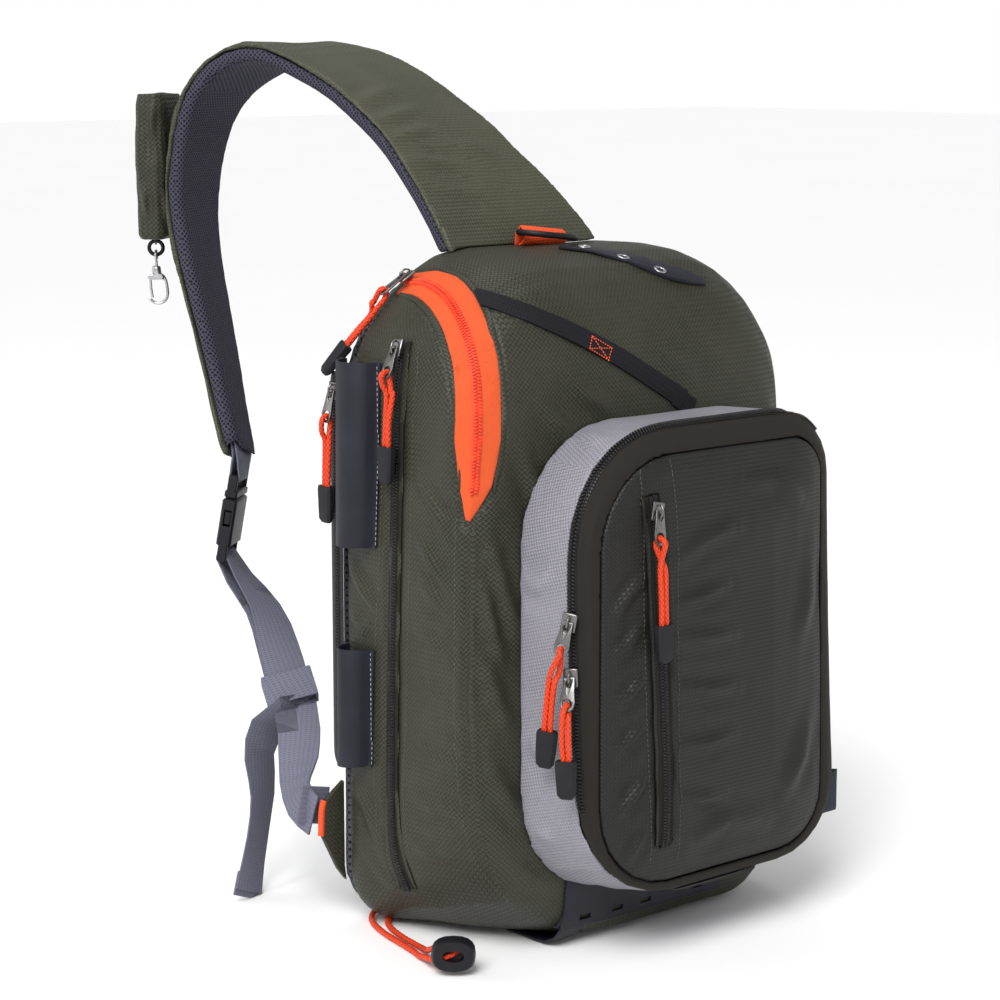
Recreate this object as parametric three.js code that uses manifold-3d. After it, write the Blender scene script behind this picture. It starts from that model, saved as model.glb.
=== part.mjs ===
// Fishing tackle sling bag: a padded body with a front pocket, carried on one wide shoulder strap.
// Millimetres, +Z up, the front faces -Y. The origin is the centre of the base, on the floor.
import * as THREE from "three";
import { mergeVertices } from "three/addons/utils/BufferGeometryUtils.js";
import Module from "manifold-3d";

const wasm = await Module();
wasm.setup();

// Driving dimensions: body
const BODY_WIDTH = 270; // across the body at its widest
const BODY_HEIGHT = 428; // floor to the top edge, under the strap
const BODY_DEPTH = 128; // back panel to the crown of the front panel
const BACK_Y = 57; // plane of the back panel
const CLOTH = 2.4; // padded nylon cloth
const WEBBING = 1.4; // woven webbing
const SHEET = 1.5; // coated sheet of the rod tubes and the base strap
const GAP = 0.3; // clearance between neighbouring pieces
const PAD_DEPTH = 11; // foam and mesh on the back

// Driving dimensions: pocket
const POCKET_WIDTH = 214; // across its side walls
const POCKET_HEIGHT = 294; // bottom to top
const POCKET_DEPTH = 66; // how far it stands out from the body's front edge
const POCKET_X = 12; // its middle, right of the body's middle
const POCKET_BASE_Z = 37; // its lowest edge
const POCKET_FLARE = 9; // how much wider its right side is at the bottom
const POCKET_SPREAD = 4.5; // how much wider its left side is where it is sewn on
const POCKET_FRONT_WALL = 2.2;

// Driving dimensions: zips
const MAIN_TAPE = 27;
const SIDE_TAPE = 11;
const FRONT_TAPE = 12;
const COIL_WIDTH = 6.6;
const COIL_RISE = 2.6;

// Driving dimensions: shoulder strap
const STRAP_WIDTH = 126; // where it is sewn to the body
const STRAP_RISE = 119; // highest point above the body's top edge
const STRAP_REACH = 232; // how far it swings out behind the sewn end
const STRAP_LEAN = 104; // how far it drifts to the left
const STRAP_BASE_Y = 45;
const STRAP_COVER = 3.4; // nylon cover
const STRAP_FOAM = 9.6; // foam and mesh under the cover
const STRAP_WEBBING = 28;

// Driving dimensions: pulls, cords and hardware
const PULL_CORD = 3.5;
const BASE_CORD = 3.8;
const RING_WIRE = 4.4;
const RING_SPAN = 43;
const RING_REACH = 20;
const RING_TILT = 7; // degrees, its right end lower
const TUBE_BULGE = 14;
const BUCKLE_WIDTH = 34.4;
const BUCKLE_TURN = 43; // degrees about Z
const BUCKLE_DROP = 14; // tip of the strap to the plug's bar
const BUCKLE_BARS = 54; // plug's bar to the socket's bar

// Body sections from the back panel to the front: shares of the depth, of half the width and of the
// height, then corner sizes as shares of half the width (X, feet) and of the height (Z).
const BODY_SECTIONS = [
  { depth: 0.0, half: 0.95, top: 0.985, low: 0.005, shoulderX: 0.62, shoulderZ: 0.215, left: 0.29, right: 0.33 },
  { depth: 0.03, half: 0.985, top: 0.997, low: 0, shoulderX: 0.65, shoulderZ: 0.22, left: 0.3, right: 0.35 },
  { depth: 0.1, half: 1, top: 1, low: 0, shoulderX: 0.66, shoulderZ: 0.21, left: 0.33, right: 0.37 },
  { depth: 0.3, half: 1, top: 1, low: 0, shoulderX: 0.61, shoulderZ: 0.175, left: 0.48, right: 0.38 },
  { depth: 0.52, half: 1, top: 0.993, low: 0, shoulderX: 0.6, shoulderZ: 0.165, left: 0.62, right: 0.38 },
  { depth: 0.68, half: 1, top: 0.98, low: 0.002, shoulderX: 0.62, shoulderZ: 0.17, left: 0.76, right: 0.38 },
  { depth: 0.78, half: 0.995, top: 0.96, low: 0.003, shoulderX: 0.62, shoulderZ: 0.17, left: 0.84, right: 0.32 },
  { depth: 0.86, half: 0.98, top: 0.935, low: 0.005, shoulderX: 0.62, shoulderZ: 0.165, left: 0.88, right: 0.32 },
  { depth: 0.92, half: 0.945, top: 0.9, low: 0.011, shoulderX: 0.6, shoulderZ: 0.16, left: 0.86, right: 0.32 },
  { depth: 0.965, half: 0.87, top: 0.85, low: 0.034, shoulderX: 0.55, shoulderZ: 0.14, left: 0.76, right: 0.32 },
  { depth: 1, half: 0.62, top: 0.72, low: 0.15, shoulderX: 0.4, shoulderZ: 0.1, left: 0.42, right: 0.36 },
];
const SHOULDER_POWER = 1.85; // a little flatter than a round corner
const SHOULDER_RIGHT = 0.85; // the right shoulder is fuller: its corner as a share of the left one
const ROUND = 2;

// Back pad: shares of the body's half width and height, and of the pad's own depth.
const PAD_SECTIONS = [
  { depth: 0, half: 0.975, top: 0.98, low: 0.001 },
  { depth: 0.7, half: 0.975, top: 0.98, low: 0.001 },
  { depth: 1, half: 0.945, top: 0.97, low: 0.012 },
];

// Pocket corners as shares of its width, and its profile from the zip to the crown of its front:
// shares of the pocket's depth and insets as shares of its width.
const POCKET_CORNERS = { footRight: 0.24, topRight: 0.19, topLeft: 0.33, footLeft: 0.33 };
const POCKET_TILT = 9; // how far the zip comes forward at the bottom
const POCKET_DRIFT = 7; // how far the zip draws in at the lower left
const POCKET_LIFT = 8; // how far the zip's lowest run is above the side wall's back edge
const POCKET_SEAM = 0.665; // where the side wall ends and the zip tape begins
const POCKET_TAPE = [
  { depth: 0.67, inset: 0, lift: 1 },
  { depth: 0.76, inset: 0.012, lift: 0.85 },
  { depth: 0.835, inset: 0.042, lift: 0.4 },
  { depth: 0.875, inset: 0.08, lift: 0 },
];
const TAPE_RIM = 0.072; // inset of the tape's inner edge
const POCKET_PANEL = [
  { depth: 0.8, inset: 0.0745, lift: 0 },
  { depth: 0.872, inset: 0.0745, lift: 0 },
  { depth: 0.92, inset: 0.12, lift: 0 },
  { depth: 0.965, inset: 0.2, lift: 0 },
  { depth: 1, inset: 0.31, lift: 0 },
];

// Routes on the body: shares of half the width, of the depth from the back and of the height, the
// way the surface faces, and the piece's width as a share of its full width.
const MAIN_ZIP = [
  { x: -0.956, depth: 0.906, z: 0.65, out: [-0.78, -0.62, 0], wide: 0.1 },
  { x: -0.93, depth: 0.925, z: 0.7, out: [-0.72, -0.69, 0.02], wide: 0.72 },
  { x: -0.915, depth: 0.925, z: 0.76, out: [-0.66, -0.74, 0.1], wide: 1 },
  { x: -0.89, depth: 0.9, z: 0.815, out: [-0.6, -0.72, 0.3], wide: 1 },
  { x: -0.86, depth: 0.836, z: 0.87, out: [-0.6, -0.58, 0.52], wide: 1 },
  { x: -0.83, depth: 0.734, z: 0.907, out: [-0.6, -0.38, 0.68], wide: 1 },
  { x: -0.79, depth: 0.594, z: 0.94, out: [-0.58, -0.2, 0.79], wide: 1 },
  { x: -0.755, depth: 0.43, z: 0.96, out: [-0.56, -0.05, 0.82], wide: 0.95 },
  { x: -0.735, depth: 0.27, z: 0.965, out: [-0.56, 0.02, 0.82], wide: 0.85 },
  { x: -0.73, depth: 0.12, z: 0.965, out: [-0.56, 0.05, 0.82], wide: 0.7 },
];
const SIDE_ZIP = [
  { x: -0.945, depth: 0.43, z: 0.885, out: [-0.88, 0, 0.46], wide: 1 },
  { x: -0.985, depth: 0.45, z: 0.85, out: [-0.98, 0, 0.18], wide: 1 },
  { x: -1, depth: 0.445, z: 0.79, out: [-1, 0, 0], wide: 1 },
  { x: -1, depth: 0.414, z: 0.575, out: [-1, 0, 0], wide: 1 },
  { x: -1, depth: 0.39, z: 0.4, out: [-1, 0, 0], wide: 1 },
  { x: -1, depth: 0.375, z: 0.22, out: [-1, 0, 0], wide: 1 },
  { x: -0.985, depth: 0.39, z: 0.147, out: [-0.99, -0.04, -0.12], wide: 1 },
  { x: -0.925, depth: 0.4, z: 0.085, out: [-0.8, -0.15, -0.55], wide: 1 },
];
const COMPRESSION_ROUTE = [
  { x: -0.715, depth: 0.64, z: 0.944, out: [-0.5, -0.35, 0.8], wide: 1 },
  { x: -0.65, depth: 0.758, z: 0.934, out: [-0.36, -0.6, 0.72], wide: 1 },
  { x: -0.51, depth: 0.867, z: 0.915, out: [-0.2, -0.8, 0.57], wide: 1 },
  { x: -0.32, depth: 0.92, z: 0.888, out: [-0.05, -0.92, 0.4], wide: 1 },
  { x: -0.155, depth: 0.945, z: 0.862, out: [0, -0.96, 0.28], wide: 1 },
  { x: 0.067, depth: 0.97, z: 0.823, out: [0, -0.99, 0.14], wide: 1 },
  { x: 0.265, depth: 0.98, z: 0.787, out: [0, -1, 0.08], wide: 1 },
];
const LASH_ROUTE = [
  { x: 0.02, depth: 0.36, z: 1, out: [0, -0.1, 1], wide: 0.3 },
  { x: 0.1, depth: 0.45, z: 1, out: [0, -0.11, 0.99], wide: 0.75 },
  { x: 0.2, depth: 0.61, z: 0.985, out: [0.02, -0.26, 0.97], wide: 1 },
  { x: 0.33, depth: 0.74, z: 0.967, out: [0.08, -0.5, 0.86], wide: 1 },
  { x: 0.45, depth: 0.79, z: 0.955, out: [0.2, -0.65, 0.74], wide: 0.75 },
  { x: 0.54, depth: 0.81, z: 0.945, out: [0.3, -0.68, 0.68], wide: 0.3 },
];
const LASH_WIDTH = 16;
const COMPRESSION_WIDTH = 12;
// Base strap: a sheet on the body's front foot, with a tongue folded back under the left end.
const BASE_STRAP = { left: -60, right: 74, low: 14, top: 50, tongue: 20 };
const TONGUE = [
  [-6, 1.2],
  [-24, 1.15],
  [-40, 1.15],
  [-50, 2.2],
  [-58.5, 6.6],
  [-64.5, 14],
  [-67.4, 24],
];
const BASE_STRAP_SLOTS = [-43, -16, 8, 53]; // places along the strap
const BASE_SLOT = { width: 9, height: 3.2, z: 20 };

// Rod tubes on the left side: shares of the body's height, and of its depth for the sewn edges.
const ROD_TUBES = [
  { name: "rod_tube_upper", low: 0.587, top: 0.853, frontLow: 0.285, frontTop: 0.335 },
  { name: "rod_tube_lower", low: 0.262, top: 0.437, frontLow: 0.24, frontTop: 0.265 },
];
const TUBE_BACK = -0.02; // their back edges, from the back panel

// Strap stations from the sewn end to the tip: shares of the reach, rise, lean and width; the turn
// (degrees about Z) and tilt (degrees) of the strap's width.
const STRAP_STATIONS = [
  { reach: -0.03, rise: -0.07, lean: 0, wide: 1, turn: 0, tilt: 0 },
  { reach: 0.056, rise: 0.16, lean: 0.05, wide: 0.93, turn: 0, tilt: 1 },
  { reach: 0.18, rise: 0.41, lean: 0.11, wide: 0.83, turn: 0, tilt: 2 },
  { reach: 0.27, rise: 0.57, lean: 0.15, wide: 0.785, turn: 0, tilt: 2 },
  { reach: 0.36, rise: 0.7, lean: 0.2, wide: 0.76, turn: 1, tilt: 2 },
  { reach: 0.47, rise: 0.84, lean: 0.26, wide: 0.74, turn: 2, tilt: 1 },
  { reach: 0.595, rise: 0.95, lean: 0.34, wide: 0.72, turn: 5, tilt: -1 },
  { reach: 0.69, rise: 1.01, lean: 0.435, wide: 0.7, turn: 9, tilt: -1 },
  { reach: 0.77, rise: 1.03, lean: 0.53, wide: 0.68, turn: 14, tilt: 0 },
  { reach: 0.86, rise: 0.98, lean: 0.645, wide: 0.65, turn: 20, tilt: 1 },
  { reach: 0.94, rise: 0.86, lean: 0.745, wide: 0.62, turn: 26, tilt: 2 },
  { reach: 0.99, rise: 0.69, lean: 0.83, wide: 0.59, turn: 30, tilt: 2 },
  { reach: 1.01, rise: 0.44, lean: 0.893, wide: 0.565, turn: 32, tilt: 1 },
  { reach: 1.01, rise: 0.19, lean: 0.933, wide: 0.54, turn: 33, tilt: 0 },
  { reach: 0.98, rise: -0.08, lean: 0.953, wide: 0.5, turn: 36, tilt: 0 },
  { reach: 0.925, rise: -0.36, lean: 0.968, wide: 0.465, turn: 38, tilt: 0 },
  { reach: 0.85, rise: -0.69, lean: 0.985, wide: 0.42, turn: 40, tilt: 0 },
  { reach: 0.785, rise: -0.98, lean: 1.01, wide: 0.385, turn: 42, tilt: 0 },
  { reach: 0.735, rise: -1.17, lean: 1.03, wide: 0.345, turn: 43, tilt: 0 },
  { reach: 0.715, rise: -1.235, lean: 1.035, wide: 0.25, turn: 43, tilt: 0 },
];

// Lower webbing, from the wing at the body's foot up through the keeper to the buckle: shares of half
// the body's width, of the strap's reach and of the body's height; the turn and tilt (degrees) of the
// webbing's width; how far each leg lies from this line, as a share of the bar's own spread.
const LEG_SPREAD = 3.5;
const WING_ROUTE = [
  { x: -1.11, reach: 0.3, z: 0.172, turn: -60, tilt: -82 },
  { x: -1.1, reach: 0.37, z: 0.184, turn: -50, tilt: -68 },
  { x: -1.045, reach: 0.43, z: 0.203, turn: -40, tilt: -48 },
  { x: -0.97, reach: 0.48, z: 0.232, turn: -38, tilt: -26 },
  { x: -0.905, reach: 0.53, z: 0.264, turn: -38, tilt: -8 },
];
const SHARED_ROUTE = [
  { x: -0.862, reach: 0.58, z: 0.295, turn: -38, tilt: 0, spread: 0.42 },
  { x: -0.845, reach: 0.625, z: 0.32, turn: -38, tilt: 0, spread: 0.42 },
  { x: -0.805, reach: 0.7, z: 0.362, turn: -20, tilt: 0, spread: 0.55 },
  { x: -0.77, reach: 0.8, z: 0.418, turn: 14, tilt: 0, spread: 0.8 },
  { x: -0.822, reach: 0.885, z: 0.468, turn: 37, tilt: 0, spread: 1 },
];
const TAIL_ROUTE = [
  { x: -0.945, reach: 0.655, z: 0.262, turn: -10, tilt: 0 },
  { x: -0.985, reach: 0.66, z: 0.218, turn: 12, tilt: 0 },
  { x: -0.98, reach: 0.65, z: 0.165, turn: 22, tilt: 0 },
  { x: -1.015, reach: 0.64, z: 0.11, turn: 27, tilt: 0 },
  { x: -1.075, reach: 0.625, z: 0.052, turn: 24, tilt: 4 },
  { x: -1.12, reach: 0.61, z: 0.013, turn: 18, tilt: 8 },
];

// Zip pulls: the zip each rides on and where along it, the way its tab hangs, and points chosen by
// hand along the middle of the doubled cord from under the tab to the rubber end.
const PULLS = [
  {
    name: "main_pull",
    zip: "main",
    share: 0.965,
    down: [-0.76, 0.24, -0.6],
    cord: [
      [-117.5, 48, 390],
      [-122.5, 55, 380],
      [-130.5, 61.8, 367.2],
    ],
  },
  {
    name: "side_pull",
    zip: "side",
    share: 0.05,
    down: [-0.42, -0.08, -0.9],
    cord: [
      [-142, -1, 348],
      [-142, 0, 331],
      [-142, 1.5, 311],
    ],
  },
  {
    name: "back_pull",
    zip: "back",
    share: 0.05,
    down: [-0.22, 0.05, -0.97],
    cord: [
      [-142, 61.6, 313],
      [-142, 62, 297],
      [-142, 62.6, 279],
    ],
  },
  {
    name: "pocket_pull_upper",
    zip: "pocket",
    share: 0.54,
    down: [-0.3, 0.04, -0.95],
    cord: [
      [-107.5, -110, 187],
      [-107.5, -107.5, 170],
      [-107.5, -105.5, 152],
    ],
  },
  {
    name: "pocket_pull_lower",
    zip: "pocket",
    share: 0.575,
    down: [-0.3, -0.2, -0.93],
    cord: [
      [-107, -120.6, 167],
      [-107, -121.4, 152],
      [-107, -122, 137],
    ],
  },
  {
    name: "front_pull",
    zip: "front",
    share: 0.035,
    down: [-0.19, -0.22, -0.96],
    cord: [
      [-46.5, -138.3, 250],
      [-46, -138.6, 232],
      [-45, -138.6, 212],
    ],
  },
];
const SLIDER = { width: 9, length: 11, plate: 1.8, bridge: 3.2, span: 7.4, wire: 1.4 };
const TAB = { width: 9.4, length: 20, thick: 1.3, eye: 3, loop: 2 };
const RUBBER = { width: 12.5, length: 23, thick: 6.4 };

// Cord loop under the base, laid on the floor: both strands run from the base to the cord lock.
const BASE_LOOP = [
  [-84, 60.5, 5.6],
  [-94, 66, 2.3],
  [-108, 63, 2.3],
  [-119, 50, 2.3],
  [-126, 30, 2.3],
  [-130, 8, 2.3],
  [-134, -14, 2.6],
  [-139, -31, 5],
  [-143, -42, 8.4],
  [-141, -48.6, 10.4],
  [-134.5, -53.4, 12.6],
  [-131.5, -54.6, 15],
  [-134.5, -51.4, 17.2],
  [-139.6, -45.4, 16.4],
  [-138.4, -35, 11.6],
  [-133.4, -24, 6.8],
  [-126, -9, 2.8],
  [-123, 10, 2.3],
  [-118, 31, 2.3],
  [-110, 46, 2.3],
  [-99, 55.4, 3],
  [-84, 54.4, 5.4],
];
const LOCK = { at: [-135.5, -52.6, 12.8], length: 27, height: 21, thick: 12, windowLength: 13, windowHeight: 7 };

const colours = {
  olive: 0x35382c,
  strapOlive: 0x44483a,
  grey: 0x9b9aa0,
  mesh: 0x55545f,
  webbing: 0x77778a,
  orange: 0xe8481f,
  black: 0x1b1b1e,
  coil: 0x24221f,
  sheet: 0x2c2c38,
  metal: 0xb4b4b8,
};
const bag = new THREE.Group();

function paint(name) {
  const metal = name === "metal";
  return new THREE.MeshStandardMaterial({
    color: colours[name],
    roughness: metal ? 0.3 : 0.8,
    metalness: metal ? 1 : 0,
  });
}

const vec = (x, y, z) => new THREE.Vector3(x, y, z);
const degrees = THREE.MathUtils.degToRad;

// Solids and surfaces

function solidOf(geometry) {
  const bare = geometry.clone();
  bare.deleteAttribute("normal");
  bare.deleteAttribute("uv");
  const merged = mergeVertices(bare, 1e-4);
  return new wasm.Manifold(
    new wasm.Mesh({
      numProp: 3,
      vertProperties: new Float32Array(merged.attributes.position.array),
      triVerts: new Uint32Array(merged.index.array),
    }),
  );
}

function geometryOf(solid) {
  const mesh = solid.getMesh();
  const geometry = new THREE.BufferGeometry();
  geometry.setAttribute("position", new THREE.BufferAttribute(mesh.vertProperties, 3));
  geometry.setIndex(new THREE.BufferAttribute(mesh.triVerts, 1));
  geometry.computeVertexNormals();
  return geometry;
}

function facesOut(points, faces) {
  const geometry = new THREE.BufferGeometry().setFromPoints(points);
  geometry.setIndex(faces);
  const solid = solidOf(geometry);
  if (solid.volume() > 0) return solid;
  const turned = [];
  for (let f = 0; f < faces.length; f += 3) turned.push(faces[f + 1], faces[f], faces[f + 2]);
  geometry.setIndex(turned);
  return solidOf(geometry);
}

// A skin through rings of as many points each: closed by a fan over each end, or into a loop.
function loft(rings, looped = false) {
  const size = rings[0].length;
  const points = rings.flat();
  const total = points.length;
  const faces = [];
  const spans = looped ? rings.length : rings.length - 1;
  for (let i = 0; i < spans; i++) {
    for (let j = 0; j < size; j++) {
      const next = (j + 1) % size;
      const a = i * size + j;
      const b = i * size + next;
      const c = ((i + 1) * size + next) % total;
      const d = ((i + 1) * size + j) % total;
      faces.push(a, b, c, a, c, d);
    }
  }
  if (looped) return facesOut(points, faces);
  const last = total - size;
  for (const ring of [rings[0], rings[rings.length - 1]]) {
    points.push(ring.reduce((sum, p) => sum.add(p), vec(0, 0, 0)).divideScalar(size));
  }
  for (let j = 0; j < size; j++) {
    const next = (j + 1) % size;
    faces.push(next, j, total);
    faces.push(last + j, last + next, total + 1);
  }
  return facesOut(points, faces);
}

function add(name, solid, colour) {
  const mesh = new THREE.Mesh(geometryOf(solid), paint(colour));
  mesh.name = name;
  bag.add(mesh);
}

// Sweeps: a frame is a place, the way along, the way across and the way out of the surface.

function framesOf(places, acrossOf) {
  return places.map((at, i) => {
    const before = places[Math.max(i - 1, 0)];
    const after = places[Math.min(i + 1, places.length - 1)];
    const along = after.clone().sub(before).normalize();
    const across = acrossOf(i, along).normalize();
    const out = across.clone().cross(along).normalize();
    return { at: at.clone(), along, across: along.clone().cross(out).normalize(), out };
  });
}

function sweep(frames, sectionOf, looped = false) {
  const rings = frames.map((frame, i) =>
    sectionOf(i).map(([a, o]) =>
      frame.at.clone().addScaledVector(frame.across, a).addScaledVector(frame.out, o),
    ),
  );
  return loft(rings, looped);
}

const flat = (width, low, high) => [
  [-width / 2, low],
  [width / 2, low],
  [width / 2, high],
  [-width / 2, high],
];

function roundSection(radius, sides = 8) {
  const section = [];
  for (let k = 0; k < sides; k++) {
    const t = (2 * Math.PI * (k + 0.5)) / sides;
    section.push([radius * Math.cos(t), radius * Math.sin(t)]);
  }
  return section;
}

function tube(points, diameter, steps) {
  const curve = new THREE.CatmullRomCurve3(points);
  const shape = new THREE.Shape(
    roundSection(diameter / 2).map(([x, y]) => new THREE.Vector2(x, y)),
  );
  return solidOf(new THREE.ExtrudeGeometry(shape, { steps, extrudePath: curve }));
}

// The way across a strip whose width is turned about Z and then tilted out of the level.
function turned(turn, tilt) {
  const level = Math.cos(degrees(tilt));
  return vec(level * Math.cos(degrees(turn)), level * Math.sin(degrees(turn)), -Math.sin(degrees(tilt)));
}

// Smooths a table of rows into more places, with its other columns kept in step.
function smooth(rows, placeOf, columns, count) {
  const curve = new THREE.CatmullRomCurve3(rows.map(placeOf), false, "centripetal");
  const result = [];
  for (let k = 0; k <= count; k++) {
    const t = k / count;
    const position = t * (rows.length - 1);
    const i = Math.min(Math.floor(position), rows.length - 2);
    const item = { at: curve.getPoint(t) };
    for (const name of columns) {
      item[name] = THREE.MathUtils.lerp(rows[i][name], rows[i + 1][name], position - i);
    }
    result.push(item);
  }
  return result;
}

// A rounded outline in the XZ plane at one depth, from its lower right corner round to its base.
function outline(y, box, corners) {
  const steps = { corner: 6, side: 4, level: 4 };
  const signs = [
    [1, -1],
    [1, 1],
    [-1, 1],
    [-1, -1],
  ];
  const arcs = corners.map((corner, i) => {
    const [sx, sz] = signs[i];
    const cx = (sx > 0 ? box.right : box.left) - sx * corner.rx;
    const cz = (sz > 0 ? box.top : box.low) - sz * corner.rz;
    const arc = [];
    for (let k = 0; k <= steps.corner; k++) {
      const t = (k / steps.corner) * (Math.PI / 2);
      const along = Math.pow(Math.cos(t), 2 / corner.power) * corner.rx;
      const up = Math.pow(Math.sin(t), 2 / corner.power) * corner.rz;
      arc.push(vec(cx + sx * along, y, cz + sz * up));
    }
    return sx * sz < 0 ? arc.reverse() : arc;
  });
  const ring = [];
  arcs.forEach((arc, i) => {
    ring.push(...arc);
    const from = arc[arc.length - 1];
    const to = arcs[(i + 1) % arcs.length][0];
    const count = i % 2 ? steps.level : steps.side;
    for (let k = 1; k < count; k++) ring.push(from.clone().lerp(to, k / count));
  });
  return ring;
}

// Body

function bodySolid(inset) {
  const rings = BODY_SECTIONS.map((row) => {
    const half = (row.half * BODY_WIDTH) / 2 - inset;
    const shoulder = {
      rx: (row.shoulderX * BODY_WIDTH) / 2,
      rz: row.shoulderZ * BODY_HEIGHT,
      power: SHOULDER_POWER,
    };
    const fuller = {
      rx: shoulder.rx * SHOULDER_RIGHT,
      rz: shoulder.rz * SHOULDER_RIGHT,
      power: ROUND,
    };
    const foot = (share) => {
      const radius = (share * BODY_WIDTH) / 2 - inset;
      return { rx: radius, rz: radius, power: ROUND };
    };
    const box = {
      left: -half,
      right: half,
      top: row.top * BODY_HEIGHT - inset,
      low: row.low * BODY_HEIGHT + inset,
    };
    const y = BACK_Y - inset - row.depth * (BODY_DEPTH - 2 * inset);
    return outline(y, box, [foot(row.right), fuller, shoulder, foot(row.left)]);
  });
  return loft(rings);
}

function padSolid(inset) {
  const rings = PAD_SECTIONS.map((row) => {
    const half = (row.half * BODY_WIDTH) / 2 - inset;
    const shoulder = {
      rx: 0.62 * half,
      rz: 0.2 * BODY_HEIGHT,
      power: SHOULDER_POWER,
    };
    const foot = { rx: 0.3 * half, rz: 0.3 * half, power: ROUND };
    const box = {
      left: -half,
      right: half,
      top: row.top * BODY_HEIGHT - inset,
      low: row.low * BODY_HEIGHT + inset,
    };
    const y = BACK_Y + GAP + inset + row.depth * (PAD_DEPTH - 2 * inset);
    return outline(y, box, [foot, shoulder, shoulder, foot]);
  });
  return loft(rings);
}

const bodyOuter = bodySolid(0);
const bodyGrown = bodySolid(-GAP);
const padGrown = padSolid(-GAP);
const bodyAndPad = bodyGrown.add(padGrown);

const bodyFace = new THREE.Mesh(
  geometryOf(bodyOuter),
  new THREE.MeshBasicMaterial({ side: THREE.DoubleSide }),
);
bodyFace.updateMatrixWorld();

const onBody = (row) =>
  vec((row.x * BODY_WIDTH) / 2, BACK_Y - row.depth * BODY_DEPTH, row.z * BODY_HEIGHT);

// Frames along a route that is dropped onto the body's skin.
function routeOnBody(rows, count) {
  const named = rows.map((row) => ({ ...row, ox: row.out[0], oy: row.out[1], oz: row.out[2] }));
  const items = smooth(named, onBody, ["ox", "oy", "oz", "wide"], count);
  const ray = new THREE.Raycaster();
  const reach = BODY_DEPTH / 3;
  const outs = items.map((item) => vec(item.ox, item.oy, item.oz).normalize());
  const places = items.map((item, i) => {
    ray.set(item.at.clone().addScaledVector(outs[i], reach), outs[i].clone().negate());
    const hits = ray.intersectObject(bodyFace);
    return hits.length ? hits[0].point.clone() : item.at;
  });
  const frames = framesOf(places, (i, along) => along.clone().cross(outs[i]));
  frames.forEach((frame, i) => {
    if (frame.out.dot(outs[i]) < 0) frame.out.negate();
    frame.wide = items[i].wide;
  });
  return frames;
}

const CUT_REACH = 9;
const widthsOf = (frames, width, low, high) => (i) => flat(width * frames[i].wide, low, high);

function zipOnBody(rows, width, count) {
  const frames = routeOnBody(rows, count);
  const clear = width + 2 * GAP;
  return {
    frames,
    slot: sweep(frames, widthsOf(frames, clear, -CUT_REACH, CUT_REACH)),
    strip: sweep(frames, widthsOf(frames, width, -CUT_REACH + 1, CUT_REACH - 1)),
  };
}

// A coil lies on a tape and stops short of its ends.
function coil(frames, from, to) {
  const rise = COIL_RISE;
  const half = COIL_WIDTH / 2;
  const section = [
    [-half, -1.2],
    [half, -1.2],
    [half, rise * 0.45],
    [half * 0.55, rise],
    [-half * 0.55, rise],
    [-half, rise * 0.45],
  ];
  return sweep(frames.slice(from, to), () => section);
}

const mainZip = zipOnBody(MAIN_ZIP, MAIN_TAPE, 18);
const sideZip = zipOnBody(SIDE_ZIP, SIDE_TAPE, 14);
const tapeLayer = bodySolid(GAP).subtract(bodySolid(CLOTH - GAP));

add(
  "body_shell",
  bodyOuter.subtract(bodySolid(CLOTH)).subtract(mainZip.slot).subtract(sideZip.slot),
  "olive",
);
add("back_pad", padSolid(0), "mesh");
add("main_zip_tape", tapeLayer.intersect(mainZip.strip), "orange");
add("main_zip_coil", coil(mainZip.frames, 2, 19).subtract(bodyOuter), "orange");
add("side_zip_tape", tapeLayer.intersect(sideZip.strip), "coil");
add("side_zip_coil", coil(sideZip.frames, 1, 15).subtract(bodyOuter), "coil");

// The back compartment's coil runs down the crease between the body and the back pad.
const creaseFrames = framesOf(
  [0.83, 0.7, 0.55, 0.4, 0.25].map((share) =>
    vec(-0.985 * (BODY_WIDTH / 2), BACK_Y + COIL_WIDTH / 2, share * BODY_HEIGHT),
  ),
  () => vec(0, 1, 0),
);
creaseFrames.forEach((frame) => frame.out.set(-1, 0, 0));
add("back_zip_coil", coil(creaseFrames, 0, 5).subtract(bodyAndPad), "coil");

// Webbing and strips on the body
const compressionFrames = routeOnBody(COMPRESSION_ROUTE, 14);
add(
  "compression_webbing",
  sweep(compressionFrames, () => flat(COMPRESSION_WIDTH, -1.5, GAP + WEBBING))
    .subtract(bodyGrown)
    .subtract(mainZip.slot),
  "black",
);
const lashFrames = routeOnBody(LASH_ROUTE, 12);
add(
  "lash_strip",
  sweep(lashFrames, widthsOf(lashFrames, LASH_WIDTH, -2.5, GAP + SHEET)).subtract(bodyGrown),
  "sheet",
);

// Rod tubes: sheets sewn down at both edges and bowed out between them
function tubeShape(front, back) {
  const wall = -BODY_WIDTH / 2 - GAP;
  const hem = 5;
  const steps = 10;
  const middle = (front + back) / 2;
  const half = (back - front) / 2 - hem;
  const bow = (k, rise, grow) => {
    const t = Math.PI * (k / steps);
    return new THREE.Vector2(wall - rise - TUBE_BULGE * Math.sin(t), middle - (half + grow) * Math.cos(t));
  };
  const points = [new THREE.Vector2(wall, front), new THREE.Vector2(wall - SHEET, front)];
  for (let k = 0; k <= steps; k++) points.push(bow(k, SHEET, SHEET * 0.4));
  points.push(new THREE.Vector2(wall - SHEET, back), new THREE.Vector2(wall, back));
  for (let k = steps; k >= 0; k--) points.push(bow(k, 0, -SHEET * 0.5));
  return new THREE.Shape(points);
}

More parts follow.
